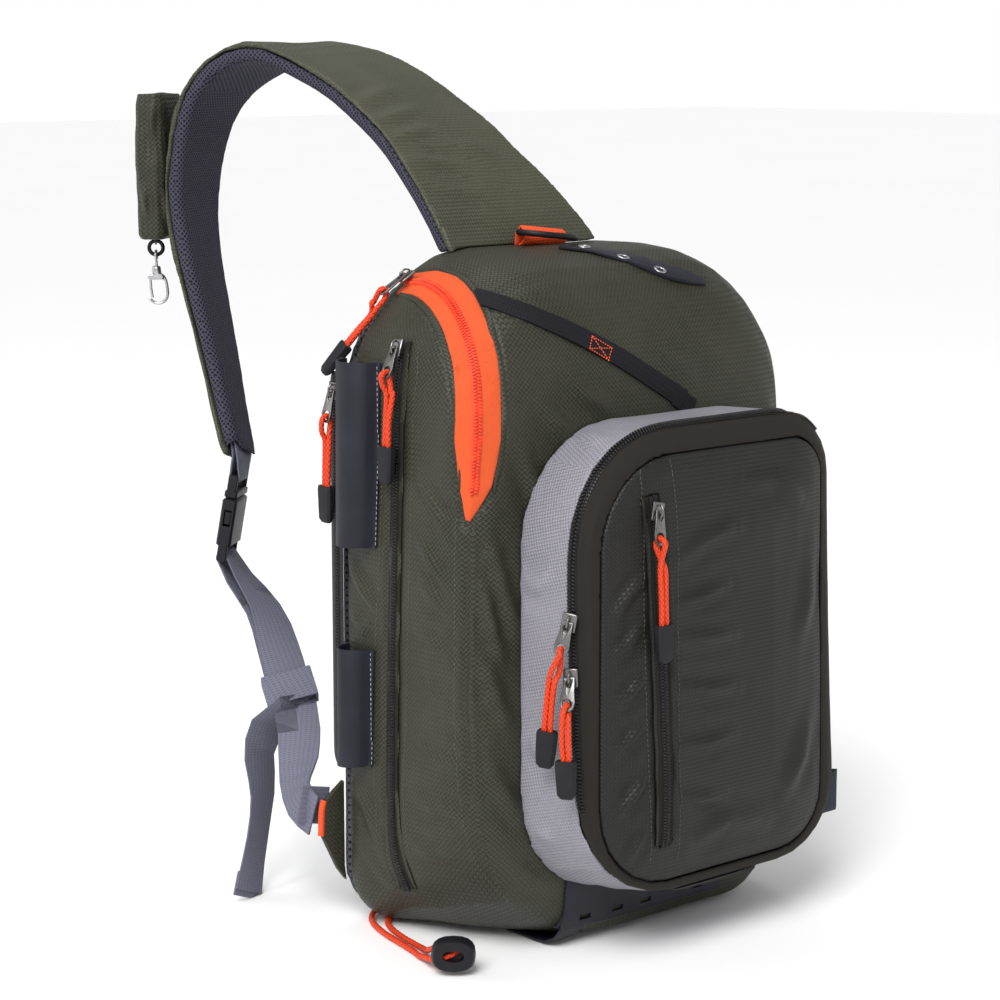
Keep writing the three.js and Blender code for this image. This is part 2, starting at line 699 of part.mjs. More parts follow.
for (const row of ROD_TUBES) {
  const back = BACK_Y + TUBE_BACK * BODY_DEPTH;
  const front = BACK_Y - row.frontTop * BODY_DEPTH;
  const taper = (row.frontTop - row.frontLow) * BODY_DEPTH;
  const height = (row.top - row.low) * BODY_HEIGHT;
  const shape = new THREE.ExtrudeGeometry(tubeShape(front, back), { depth: height, bevelEnabled: false });
  const place = shape.attributes.position;
  for (let k = 0; k < place.count; k++) {
    const share = (back - place.getY(k)) / (back - front);
    const low = 1 - place.getZ(k) / height;
    place.setY(k, place.getY(k) + taper * low * share);
  }
  add(row.name, solidOf(shape.translate(0, 0, row.low * BODY_HEIGHT)), "sheet");
}

// Base strap under the pocket
const box = (left, right, front, back, low, top) => {
  const face = (y) => [vec(left, y, low), vec(right, y, low), vec(right, y, top), vec(left, y, top)];
  return loft([face(front), face(back)]);
};
const sheetLayer = bodySolid(-GAP - SHEET).subtract(bodyGrown);
const frontY = BACK_Y - BODY_DEPTH - 5;
const tongueFrames = framesOf(
  TONGUE.map(([y, z]) => vec(BASE_STRAP.left + BASE_STRAP.tongue / 2, y, z)),
  () => vec(1, 0, 0),
);
let baseStrap = sheetLayer
  .intersect(box(BASE_STRAP.left, BASE_STRAP.right, frontY, -BODY_DEPTH / 3, BASE_STRAP.low, BASE_STRAP.top))
  .add(sweep(tongueFrames, () => flat(BASE_STRAP.tongue, -SHEET / 2, SHEET / 2)))
  .subtract(bodyGrown);
const slotBack = BACK_Y - BODY_DEPTH + 16;
const slotLow = BASE_SLOT.z - BASE_SLOT.height / 2;
for (const x of BASE_STRAP_SLOTS) {
  const half = BASE_SLOT.width / 2;
  baseStrap = baseStrap.subtract(
    box(x - half, x + half, frontY, slotBack, slotLow, slotLow + BASE_SLOT.height),
  );
}
add("base_strap", baseStrap, "sheet");
const strapBlock = bodySolid(-2 * GAP - SHEET).intersect(
  box(
    BASE_STRAP.left - GAP,
    BASE_STRAP.right + GAP,
    frontY - 9,
    -BODY_DEPTH / 3,
    BASE_STRAP.low - GAP,
    BASE_STRAP.top + GAP,
  ),
);

// Pocket

const pocketFace = BACK_Y - BODY_DEPTH + 7;
function pocketRing(y, inset, lift = 0, sewn = 0) {
  const half = POCKET_WIDTH / 2 - inset;
  const box = {
    left: POCKET_X - half,
    right: POCKET_X + half,
    top: POCKET_BASE_Z + POCKET_HEIGHT - inset,
    low: POCKET_BASE_Z + inset + lift * POCKET_LIFT,
  };
  const corners = ["footRight", "topRight", "topLeft", "footLeft"].map((name) => {
    const extra = name === "topRight" ? sewn * 0.1 : 0;
    const radius = Math.max((POCKET_CORNERS[name] + extra) * POCKET_WIDTH - inset, 6);
    return { rx: radius, rz: radius, power: ROUND };
  });
  const ring = outline(y, box, corners);
  for (const p of ring) {
    const low = 1 - (p.z - POCKET_BASE_Z) / POCKET_HEIGHT;
    if (p.x > POCKET_X) p.x += (POCKET_FLARE * low * (p.x - POCKET_X)) / half;
    else p.x += lift * POCKET_DRIFT * low * low - sewn * POCKET_SPREAD;
    p.y -= lift * POCKET_TILT * low * low;
  }
  return ring;
}
const pocketY = (share) => pocketFace - share * POCKET_DEPTH;
const profile = (rows, back, deeper) =>
  rows.map((row) =>
    pocketRing(pocketY(row.depth) + back, row.inset * POCKET_WIDTH + deeper, row.lift),
  );

const seamY = pocketY(POCKET_SEAM);
const sewnY = BACK_Y - 0.9 * BODY_DEPTH;
const sideWall = loft([
  pocketRing(BACK_Y - BODY_DEPTH / 2, 0, 0, 1),
  pocketRing(sewnY, 0, 0, 1),
  pocketRing(seamY, 0, 1),
]).subtract(
  loft([
    pocketRing(BACK_Y - BODY_DEPTH / 2 + 1, CLOTH, 0, 1),
    pocketRing(sewnY, CLOTH, 0, 1),
    pocketRing(seamY - 1, CLOTH, 1),
  ]),
);
add("pocket_side_wall", sideWall.subtract(bodyGrown).subtract(strapBlock), "grey");

const rim = TAPE_RIM * POCKET_WIDTH;
const tapeHole = loft([
  pocketRing(seamY + 2, CLOTH, 1),
  ...profile(POCKET_TAPE.slice(1, 3), CLOTH, CLOTH),
  pocketRing(pocketY(POCKET_TAPE[3].depth) + CLOTH, rim),
  pocketRing(pocketY(1), rim),
]);
add("pocket_zip_tape", loft(profile(POCKET_TAPE, 0, 0)).subtract(tapeHole), "coil");

const panelOuter = (shift) => loft(profile(POCKET_PANEL, shift, 0));
const panelHollow = loft([
  pocketRing(pocketY(POCKET_PANEL[0].depth) + 1, rim + GAP + POCKET_FRONT_WALL),
  ...profile(POCKET_PANEL.slice(1), POCKET_FRONT_WALL, POCKET_FRONT_WALL),
]);

// Front zip, in the pocket's panel
const FRONT_ZIP = [
  { x: -0.53, z: 0.87 },
  { x: -0.47, z: 0.6 },
  { x: -0.43, z: 0.35 },
  { x: -0.41, z: 0.14 },
];
const frontPlace = (row, y) =>
  vec(POCKET_X + (row.x * POCKET_WIDTH) / 2, y, POCKET_BASE_Z + row.z * POCKET_HEIGHT);
const frontFrames = framesOf(
  smooth(FRONT_ZIP, (row) => frontPlace(row, pocketY(1)), [], 9).map((item) => item.at),
  (i, along) => along.clone().cross(vec(0, -1, 0)),
);
frontFrames.forEach((frame) => frame.out.set(0, -1, 0));
const frontSlot = sweep(frontFrames, () => flat(FRONT_TAPE + 2 * GAP, -2 * CUT_REACH, CUT_REACH));
const frontStrip = sweep(frontFrames, () => flat(FRONT_TAPE, -2 * CUT_REACH + 1, CUT_REACH));
const panel = panelOuter(0);
add("pocket_panel", panel.subtract(panelHollow).subtract(frontSlot), "olive");
add(
  "front_zip_tape",
  panelOuter(GAP).subtract(panelOuter(POCKET_FRONT_WALL - GAP)).intersect(frontStrip),
  "coil",
);

const panelFace = new THREE.Mesh(
  geometryOf(panel),
  new THREE.MeshBasicMaterial({ side: THREE.DoubleSide }),
);
panelFace.updateMatrixWorld();
const settle = new THREE.Raycaster();
frontFrames.forEach((frame) => {
  settle.set(frame.at.clone().setY(-BODY_HEIGHT), vec(0, 1, 0));
  const hits = settle.intersectObject(panelFace);
  if (hits.length) frame.at.copy(hits[0].point);
});
add("front_zip_coil", coil(frontFrames, 0, 10).subtract(panel), "coil");

// Pocket coil: it follows the edge between the side wall and the tape, from the top right round the
// left side to the bottom right.
const EDGE_FROM = 13;
const EDGE_TO = 40;
const edge = pocketRing(pocketY(POCKET_SEAM + 0.035), 0, 1).slice(EDGE_FROM, EDGE_TO);
const middle = vec(POCKET_X, 0, POCKET_BASE_Z + POCKET_HEIGHT / 2);
const edgeFrames = framesOf(edge, (i, along) => along.clone().cross(vec(0, -1, 0)));
edgeFrames.forEach((frame) => {
  const outward = frame.along.clone().cross(vec(0, 1, 0)).normalize();
  if (outward.dot(frame.at.clone().sub(middle)) < 0) outward.negate();
  frame.out.copy(outward.multiplyScalar(0.86).add(vec(0, -0.5, 0)).normalize());
  frame.across.crossVectors(frame.along, frame.out).normalize();
});
const pocketBlock = loft([
  pocketRing(seamY + 9, -GAP, 1),
  pocketRing(seamY, -GAP, 1),
  ...profile(POCKET_TAPE, 0, -GAP),
]);
add("pocket_zip_coil", coil(edgeFrames, 0, edgeFrames.length).subtract(pocketBlock), "coil");

// A small folded loop of webbing stands out of the pocket's right side.
const loopZ = POCKET_BASE_Z + 0.13 * POCKET_HEIGHT;
const loopX = POCKET_X + POCKET_WIDTH / 2 + POCKET_FLARE * 0.86 - 1.4 + GAP;
const sideLoopPath = [
  [0.2, -3.6],
  [15, -3.2],
  [19, 0],
  [15, 3.2],
  [0.2, 3.6],
].map(([x, y]) => vec(loopX + x, pocketY(0.6) + y, loopZ));
const sideLoop = sweep(
  framesOf(sideLoopPath, () => vec(0, 0, 1)),
  () => flat(26, -WEBBING / 2, WEBBING / 2),
);
add("side_loop", sideLoop, "webbing");

// Shoulder strap

const strapPlace = (row) =>
  vec(-row.lean * STRAP_LEAN, STRAP_BASE_Y + row.reach * STRAP_REACH, BODY_HEIGHT + row.rise * STRAP_RISE);
const strapItems = smooth(STRAP_STATIONS, strapPlace, ["wide", "turn", "tilt"], 34);
const strapFrames = framesOf(
  strapItems.map((item) => item.at),
  (i) => turned(strapItems[i].turn, strapItems[i].tilt),
);
strapFrames.forEach((frame) => {
  frame.out.crossVectors(frame.across, frame.along).normalize();
});

function strapSection(i, low, high, soft, grow = 0) {
  const half = (strapItems[i].wide * STRAP_WIDTH) / 2 + grow;
  return [
    [-half + soft, low],
    [half - soft, low],
    [half, low + soft],
    [half, high - soft * 0.5],
    [half - soft, high],
    [-half + soft, high],
    [-half, high - soft * 0.5],
    [-half, low + soft],
  ];
}
const strapCover = sweep(strapFrames, (i) => strapSection(i, GAP / 2, STRAP_COVER, 1.2));
const coverRoom = sweep(strapFrames, (i) => strapSection(i, -GAP / 2, STRAP_COVER + GAP, 1.2, GAP));
const strapMesh = sweep(strapFrames, (i) => strapSection(i, -STRAP_FOAM, 1, 3)).subtract(coverRoom);


const strip = (width) => flat(width, -WEBBING / 2, WEBBING / 2);

// Buckle, fastened: its own frame hangs from the strap's tip, with X across, Y out and Z up.
const tip = strapFrames[strapFrames.length - 1];
const hang = vec(-0.15, 0.08, -0.985).normalize();
const buckleAcross = turned(BUCKLE_TURN, 0);
buckleAcross.addScaledVector(hang, -buckleAcross.dot(hang)).normalize();
const buckleUp = hang.clone().negate();
const buckleOut = buckleUp.clone().cross(buckleAcross).normalize();
const plugBar = tip.at
  .clone()
  .addScaledVector(tip.out, -STRAP_FOAM * 0.4)
  .addScaledVector(hang, BUCKLE_DROP);
const socketBar = plugBar.clone().addScaledVector(hang, BUCKLE_BARS);
const buckleFrame = new THREE.Matrix4().makeBasis(buckleAcross, buckleOut, buckleUp).setPosition(plugBar);

function boxAt(width, thick, low, high, x = 0) {
  const shape = new THREE.BoxGeometry(width, thick, high - low);
  return solidOf(shape.translate(x, 0, (low + high) / 2));
}

function barAt(radius, length, z) {
  const shape = new THREE.CylinderGeometry(radius, radius, length, 10);
  return solidOf(shape.rotateZ(Math.PI / 2).translate(0, 0, z));
}

function soften(width, thick, low, high, soft, x = 0) {
  const rows = [
    [low, soft],
    [low + soft, 0],
    [high - soft, 0],
    [high, soft],
  ];
  const rings = rows.map(([z, cut]) => {
    const w = width / 2 - cut;
    const t = thick / 2 - cut;
    return [
      vec(x + w - soft, -t, z),
      vec(x + w, -t + soft, z),
      vec(x + w, t - soft, z),
      vec(x + w - soft, t, z),
      vec(x - w + soft, t, z),
      vec(x - w, t - soft, z),
      vec(x - w, -t + soft, z),
      vec(x - w + soft, -t, z),
    ];
  });
  return loft(rings);
}

const cheek = (BUCKLE_WIDTH - 2.6) / 2;
let plug = barAt(1.9, BUCKLE_WIDTH - 2, 0)
  .add(soften(2.6, 6.4, -9, 2.2, 0.6, cheek))
  .add(soften(2.6, 6.4, -9, 2.2, 0.6, -cheek))
  .add(soften(BUCKLE_WIDTH, 8.6, -13.4, -8, 1))
  .add(boxAt(9, 3.6, -38, -13));
for (const side of [-1, 1]) {
  plug = plug
    .add(boxAt(3.6, 3.8, -31, -13, side * 10.6))
    .add(boxAt(5.4, 3.8, -31, -23, side * 13.4));
}
let socket = soften(BUCKLE_WIDTH, 10, -46.5, -13.8, 1.4)
  .subtract(boxAt(BUCKLE_WIDTH - 6.2, 5, -41, -10))
  .subtract(boxAt(BUCKLE_WIDTH + 4, 5, -32.5, -21.5))
  .add(soften(2.6, 6.4, -BUCKLE_BARS - 2.4, -44, 0.6, cheek))
  .add(soften(2.6, 6.4, -BUCKLE_BARS - 2.4, -44, 0.6, -cheek))
  .add(barAt(1.9, BUCKLE_WIDTH - 2, -BUCKLE_BARS));
// The biggest body of a solid, without the slivers that a cut can leave
const largest = (solid) => solid.decompose().sort((a, b) => b.volume() - a.volume())[0];
const placed = (solid, matrix) => solid.transform(matrix.elements);
add("buckle_plug", placed(plug, buckleFrame), "black");
add("buckle_socket", placed(socket, buckleFrame), "black");

// Webbing from inside the strap's tip round the plug's bar
const tipWidth = STRAP_WEBBING - 1;
const barRadius = 1.9 + WEBBING / 2 + 0.7;
function inTip(back, depth) {
  const frame = strapFrames[strapFrames.length - 1 - back];
  return frame.at.clone().addScaledVector(frame.out, -depth);
}
const arcRound = (centre, from, to, up, out, radius, count) => {
  const points = [];
  for (let k = 0; k <= count; k++) {
    const t = degrees(THREE.MathUtils.lerp(from, to, k / count));
    points.push(
      centre
        .clone()
        .addScaledVector(out, radius * Math.cos(t))
        .addScaledVector(up, radius * Math.sin(t)),
    );
  }
  return points;
};
const tipLoop = [
  inTip(2, 2.9),
  inTip(1, 2.9),
  inTip(0, 2.9),
  ...arcRound(plugBar, 20, -200, buckleUp, buckleOut, barRadius, 8),
  inTip(0, 5.4),
  inTip(1, 5.4),
  inTip(2, 5.4),
];
const tipFrames = framesOf(tipLoop, (i) =>
  i < 3 || i > tipLoop.length - 4 ? tip.across.clone() : buckleAcross.clone(),
);
add("strap_end_webbing", sweep(tipFrames, () => strip(tipWidth)), "webbing");
const tipSlot = sweep(
  framesOf(
    [...[3, 2, 1, 0].map((back) => inTip(back, 4.15)), inTip(0, 4.15).addScaledVector(hang, 6)],
    () => tip.across.clone(),
  ),
  () => flat(tipWidth + 9, -3.6, 3.6),
);

add("strap_cover", strapCover.subtract(bodyAndPad), "strapOlive");
add("strap_mesh", largest(strapMesh.subtract(bodyAndPad).subtract(tipSlot)), "mesh");

// Lower webbing: up from the wing, through the keeper, round the socket's bar and back as a tail
const lowerPlace = (row) =>
  vec((row.x * BODY_WIDTH) / 2, row.reach * STRAP_REACH, row.z * BODY_HEIGHT);
const shared = smooth(SHARED_ROUTE, lowerPlace, ["turn", "tilt", "spread"], 9);
const barAcross = buckleAcross.clone();
const lastTurn = shared.length - 1;
const sharedFrames = framesOf(
  [...shared.map((item) => item.at), socketBar],
  (i) => (i > lastTurn ? barAcross.clone() : turned(shared[i].turn, shared[i].tilt)),
);
const legAt = (i, side) => {
  const frame = sharedFrames[i];
  return frame.at.clone().addScaledVector(frame.out, side * LEG_SPREAD * shared[i].spread);
};
const wing = smooth(WING_ROUTE, lowerPlace, ["turn", "tilt"], 7);
const tail = smooth(TAIL_ROUTE, lowerPlace, ["turn", "tilt"], 9);
const barFrame = sharedFrames[sharedFrames.length - 1];
const upLeg = shared.map((item, i) => ({ at: legAt(i, -1), across: sharedFrames[i].across }));
const downLeg = shared.map((item, i) => ({ at: legAt(i, 1), across: sharedFrames[i].across })).reverse();
const bend = arcRound(socketBar, 175, 5, barFrame.along, barFrame.out, barRadius, 7);
const webbingPath = [
  ...wing.map((item) => ({ at: item.at, across: turned(item.turn, item.tilt) })),
  ...upLeg,
  ...bend.map((at) => ({ at, across: barAcross.clone() })),
  ...downLeg,
  ...tail.map((item) => ({ at: item.at, across: turned(item.turn, item.tilt) })),
];
const lowerFrames = framesOf(
  webbingPath.map((item) => item.at),
  (i) => webbingPath[i].across.clone(),
);
add("adjuster_webbing", sweep(lowerFrames, () => strip(STRAP_WEBBING)), "webbing");

const keeperIndex = 2;
const keeperFrame = sharedFrames[keeperIndex];
const keeperEnds = [-11, 11].map((along) => keeperFrame.at.clone().addScaledVector(keeperFrame.along, along));
const keeperSweep = (width, thick, extra) =>
  sweep(
    framesOf(
      keeperEnds.map((at, i) => at.clone().addScaledVector(keeperFrame.along, i ? extra : -extra)),
      () => keeperFrame.across.clone(),
    ),
    () => flat(width, -thick / 2, thick / 2),
  );
add(
  "webbing_keeper",
  keeperSweep(STRAP_WEBBING + 5.6, 12, 0).subtract(keeperSweep(STRAP_WEBBING + 2.4, 9.2, 2)),
  "webbing",
);

// Wing tab at the body's left foot
const WING = [
  [-128, 98],
  [-146, 85],
  [-149, 62],
  [-137, 38],
  [-121, 17],
];
const wingRing = (y) => WING.map(([x, z]) => vec(x, y, z));
add("wing_tab", loft([wingRing(61), wingRing(64.5)]).subtract(bodyAndPad), "olive");

// Ring loop and D-ring on the top
const RING_X = 7.5;
const BAR = { y: 33.2, z: 434.4 };
const LOOP_WIDTH = 35;
const LOOP_PATH = [
  [3, -9.5],
  [-0.6, -6.4],
  [-3.6, -3],
  [-3.7, 1.4],
  [0, 4],
  [3.6, 1.2],
  [4.4, -3],
  [5.8, -9.5],
];
const loopFrames = framesOf(
  LOOP_PATH.map(([y, z]) => vec(RING_X, BAR.y + y, BAR.z + z)),
  () => turned(0, RING_TILT),
);
add("ring_loop", sweep(loopFrames, () => strip(LOOP_WIDTH)).subtract(bodyGrown), "orange");
const arch = [];
for (let k = 0; k <= 14; k++) {
  const t = Math.PI * (k / 14);
  arch.push(vec((RING_SPAN / 2) * Math.cos(t), -RING_REACH * Math.pow(Math.sin(t), 0.8), 0));
}
const bar = [];
for (let k = 1; k < 5; k++) bar.push(vec(-RING_SPAN / 2 + (k * RING_SPAN) / 5, 0, 0));
const ringPoints = [...arch, ...bar];
const ringFrames = ringPoints.map((at, i) => {
  const along = ringPoints[(i + 1) % ringPoints.length]
    .clone()
    .sub(ringPoints[(i + ringPoints.length - 1) % ringPoints.length])
    .normalize();
  return { at, along, across: along.clone().cross(vec(0, 0, 1)), out: vec(0, 0, 1) };
});
const ringPlace = new THREE.Matrix4()
  .makeRotationY(degrees(RING_TILT))
  .setPosition(RING_X, BAR.y, BAR.z);
add(
  "d_ring",
  placed(sweep(ringFrames, () => roundSection(RING_WIRE / 2), true), ringPlace),
  "black",
);

// Pouch on the strap's outer side, with its ring and snap hook
const POUCH = { station: 23, shift: -15, low: 424, top: 521, width: 41, depth: 19.5, wall: 1.6, tab: 4.5 };
const pouchStation = strapFrames[POUCH.station];
const pouchOut = vec(pouchStation.out.x, pouchStation.out.y, 0).normalize();
const pouchAcross = vec(pouchStation.across.x, pouchStation.across.y, 0).normalize();
const pouchAt = pouchStation.at
  .clone()
  .addScaledVector(pouchStation.out, STRAP_COVER + GAP + POUCH.depth / 2)
  .addScaledVector(pouchAcross, POUCH.shift)
  .setZ(0);
const pouchFrame = new THREE.Matrix4()
  .makeBasis(pouchAcross, pouchAcross.clone().cross(vec(0, 0, 1)).negate(), vec(0, 0, 1))
  .setPosition(pouchAt);
const pouchRing = (z, cut) => {
  const w = POUCH.width / 2 - cut;
  const d = POUCH.depth / 2 - cut;
  const c = 4;
  return [
    vec(w - c, -d, z),
    vec(w, -d + c, z),
    vec(w, d - c, z),
    vec(w - c, d, z),
    vec(-w + c, d, z),
    vec(-w, d - c, z),
    vec(-w, -d + c, z),
    vec(-w + c, -d, z),
  ];
};
const strapGrown = sweep(strapFrames, (i) => {
  const half = (strapItems[i].wide * STRAP_WIDTH) / 2 + GAP;
  return flat(2 * half, -STRAP_FOAM - GAP, STRAP_COVER + GAP);
});
const pouch = loft([
  pouchRing(POUCH.low, 1.5),
  pouchRing(POUCH.low + 3, 0),
  pouchRing((POUCH.low + POUCH.top) / 2, -0.8),
  pouchRing(POUCH.top - 8, 0),
  pouchRing(POUCH.top, 1),
]).subtract(loft([pouchRing(POUCH.low + POUCH.wall, 3), pouchRing(POUCH.top + 1, POUCH.wall + 1)]));
const RING_Z = POUCH.low - 6.8; // centre of the round ring under the pouch
const O_RING = { radius: 4.8, wire: 1.5 };
// The hardware under the pouch faces the front left.
const hangerFrame = new THREE.Matrix4()
  .makeRotationZ(degrees(-40))
  .setPosition(vec(0, POUCH.tab, 0).applyMatrix4(pouchFrame));
const holeZ = RING_Z + O_RING.radius;
const pouchTab = boxAt(1.6, 8, holeZ - 3.4, POUCH.low + 2).subtract(
  solidOf(new THREE.CylinderGeometry(2.6, 2.6, 6, 10).rotateZ(Math.PI / 2).translate(0, 0, holeZ)),
);
add(
  "strap_pouch",
  placed(pouch, pouchFrame).subtract(strapGrown).add(placed(pouchTab, hangerFrame)),
  "olive",
);
const torus = (radius, wire, segments) =>
  solidOf(new THREE.TorusGeometry(radius, wire, 8, segments).rotateX(Math.PI / 2));
const at = (solid, x, y, z) => solid.translate([x, y, z]);
add("o_ring", placed(at(torus(O_RING.radius, O_RING.wire, 18), 0, 0, RING_Z), hangerFrame), "black");

// Swivel: an eye on the ring, a stem and a head held inside the hook's cup
const EYE = { radius: 3.3, wire: 1 };
const eyeZ = RING_Z - O_RING.radius + O_RING.wire + EYE.wire + 0.4 - EYE.radius;
const column = (radius, low, high, sides = 12) => {
  const shape = new THREE.CylinderGeometry(radius, radius, high - low, sides);
  return solidOf(shape.rotateX(Math.PI / 2).translate(0, 0, (low + high) / 2));
};
const stemTop = eyeZ - EYE.radius + 0.4;
const stem = column(1, stemTop - 8.4, stemTop).add(column(2, stemTop - 8.4, stemTop - 6.6));
const eye = solidOf(new THREE.TorusGeometry(EYE.radius, EYE.wire, 8, 14).rotateY(Math.PI / 2));
add("hook_swivel", placed(at(eye, 0, 0, eyeZ).add(stem), hangerFrame), "metal");

const cupTop = stemTop - 4.2;
const cupLow = stemTop - 10;
const cup = column(3.3, cupLow, cupTop)
  .subtract(column(2.35, cupLow + 1.2, cupTop - 1.6))
  .subtract(column(1.35, cupTop - 3, cupTop + 1));
const HOOK_WIRE = 1.2;
const HOOK = [
  [2, -0.8],
  [5, -1.6],
  [6.4, -4.6],
  [7.4, -12],
  [7, -16],
  [4.4, -19.2],
  [0.4, -20],
  [-3, -19],
  [-5.4, -16.2],
];
const hookPoints = HOOK.map(([x, z]) => vec(x, 0, cupLow + z));
const hookFrames = framesOf(hookPoints, () => vec(0, 1, 0));
const PIVOT = { x: -4.4, z: cupLow - 1.8, radius: 0.7, eye: 1.7 };
const across = (radius, half, x, z) =>
  at(solidOf(new THREE.CylinderGeometry(radius, radius, 2 * half, 10)), x, 0, z);
const slab = (y) => at(boxAt(5.6, 1, -1.8, 1.8), -3.4, y, PIVOT.z);
const hookBody = cup
  .add(at(boxAt(6, 4.4, -1.8, 2), 1.8, 0, PIVOT.z))
  .add(slab(1.7))
  .add(slab(-1.7))
  .add(across(PIVOT.radius, 2.2, PIVOT.x, PIVOT.z))
  .add(sweep(hookFrames, () => roundSection(HOOK_WIRE)));
add("hook_body", placed(hookBody, hangerFrame), "metal");
const gatePath = [
  [PIVOT.x, PIVOT.z - 1.2],
  [PIVOT.x + 0.4, PIVOT.z - 8],
  [PIVOT.x + 1.3, PIVOT.z - 14.2],
].map(([x, z]) => vec(x, 0, z));
const gate = sweep(framesOf(gatePath, () => vec(0, 1, 0)), () => roundSection(0.95))
  .add(across(PIVOT.eye, 0.9, PIVOT.x, PIVOT.z))
  .subtract(across(PIVOT.radius + GAP, 3, PIVOT.x, PIVOT.z));
add("hook_gate", placed(gate, hangerFrame), "metal");

// Zip pulls: a slider over the coil, a tab on its bridge, a doubled cord through the tab's eye and a
// rubber end
function placeOn(frames, share) {
  const position = share * (frames.length - 1);
  const i = Math.min(Math.floor(position), frames.length - 2);
  const mix = (key) => frames[i][key].clone().lerp(frames[i + 1][key], position - i);
  return { at: mix("at"), out: mix("out").normalize() };
}

function basis(x, y, z, origin) {
  return new THREE.Matrix4().makeBasis(x, y, z).setPosition(origin);
}

// Rings of a cord along points, each ring turned as little as it can be from the one before.
function cordSolid(points, radius) {
  let side = vec(0, 0, 0);
  const rings = points.map((p, i) => {
    const before = points[Math.max(i - 1, 0)];
    const after = points[Math.min(i + 1, points.length - 1)];
    const along = after.clone().sub(before).normalize();
    if (!i) side = Math.abs(along.z) < 0.9 ? vec(0, 0, 1) : vec(1, 0, 0);
    side = side.addScaledVector(along, -side.dot(along)).normalize();
    const other = along.clone().cross(side);
    return roundSection(radius).map(([a, b]) =>
      p.clone().addScaledVector(side, a).addScaledVector(other, b),
    );
  });
  return loft(rings);
}

const zips = {
  main: mainZip.frames,
  side: sideZip.frames,
  back: creaseFrames,
  pocket: edgeFrames,
  front: frontFrames,
};

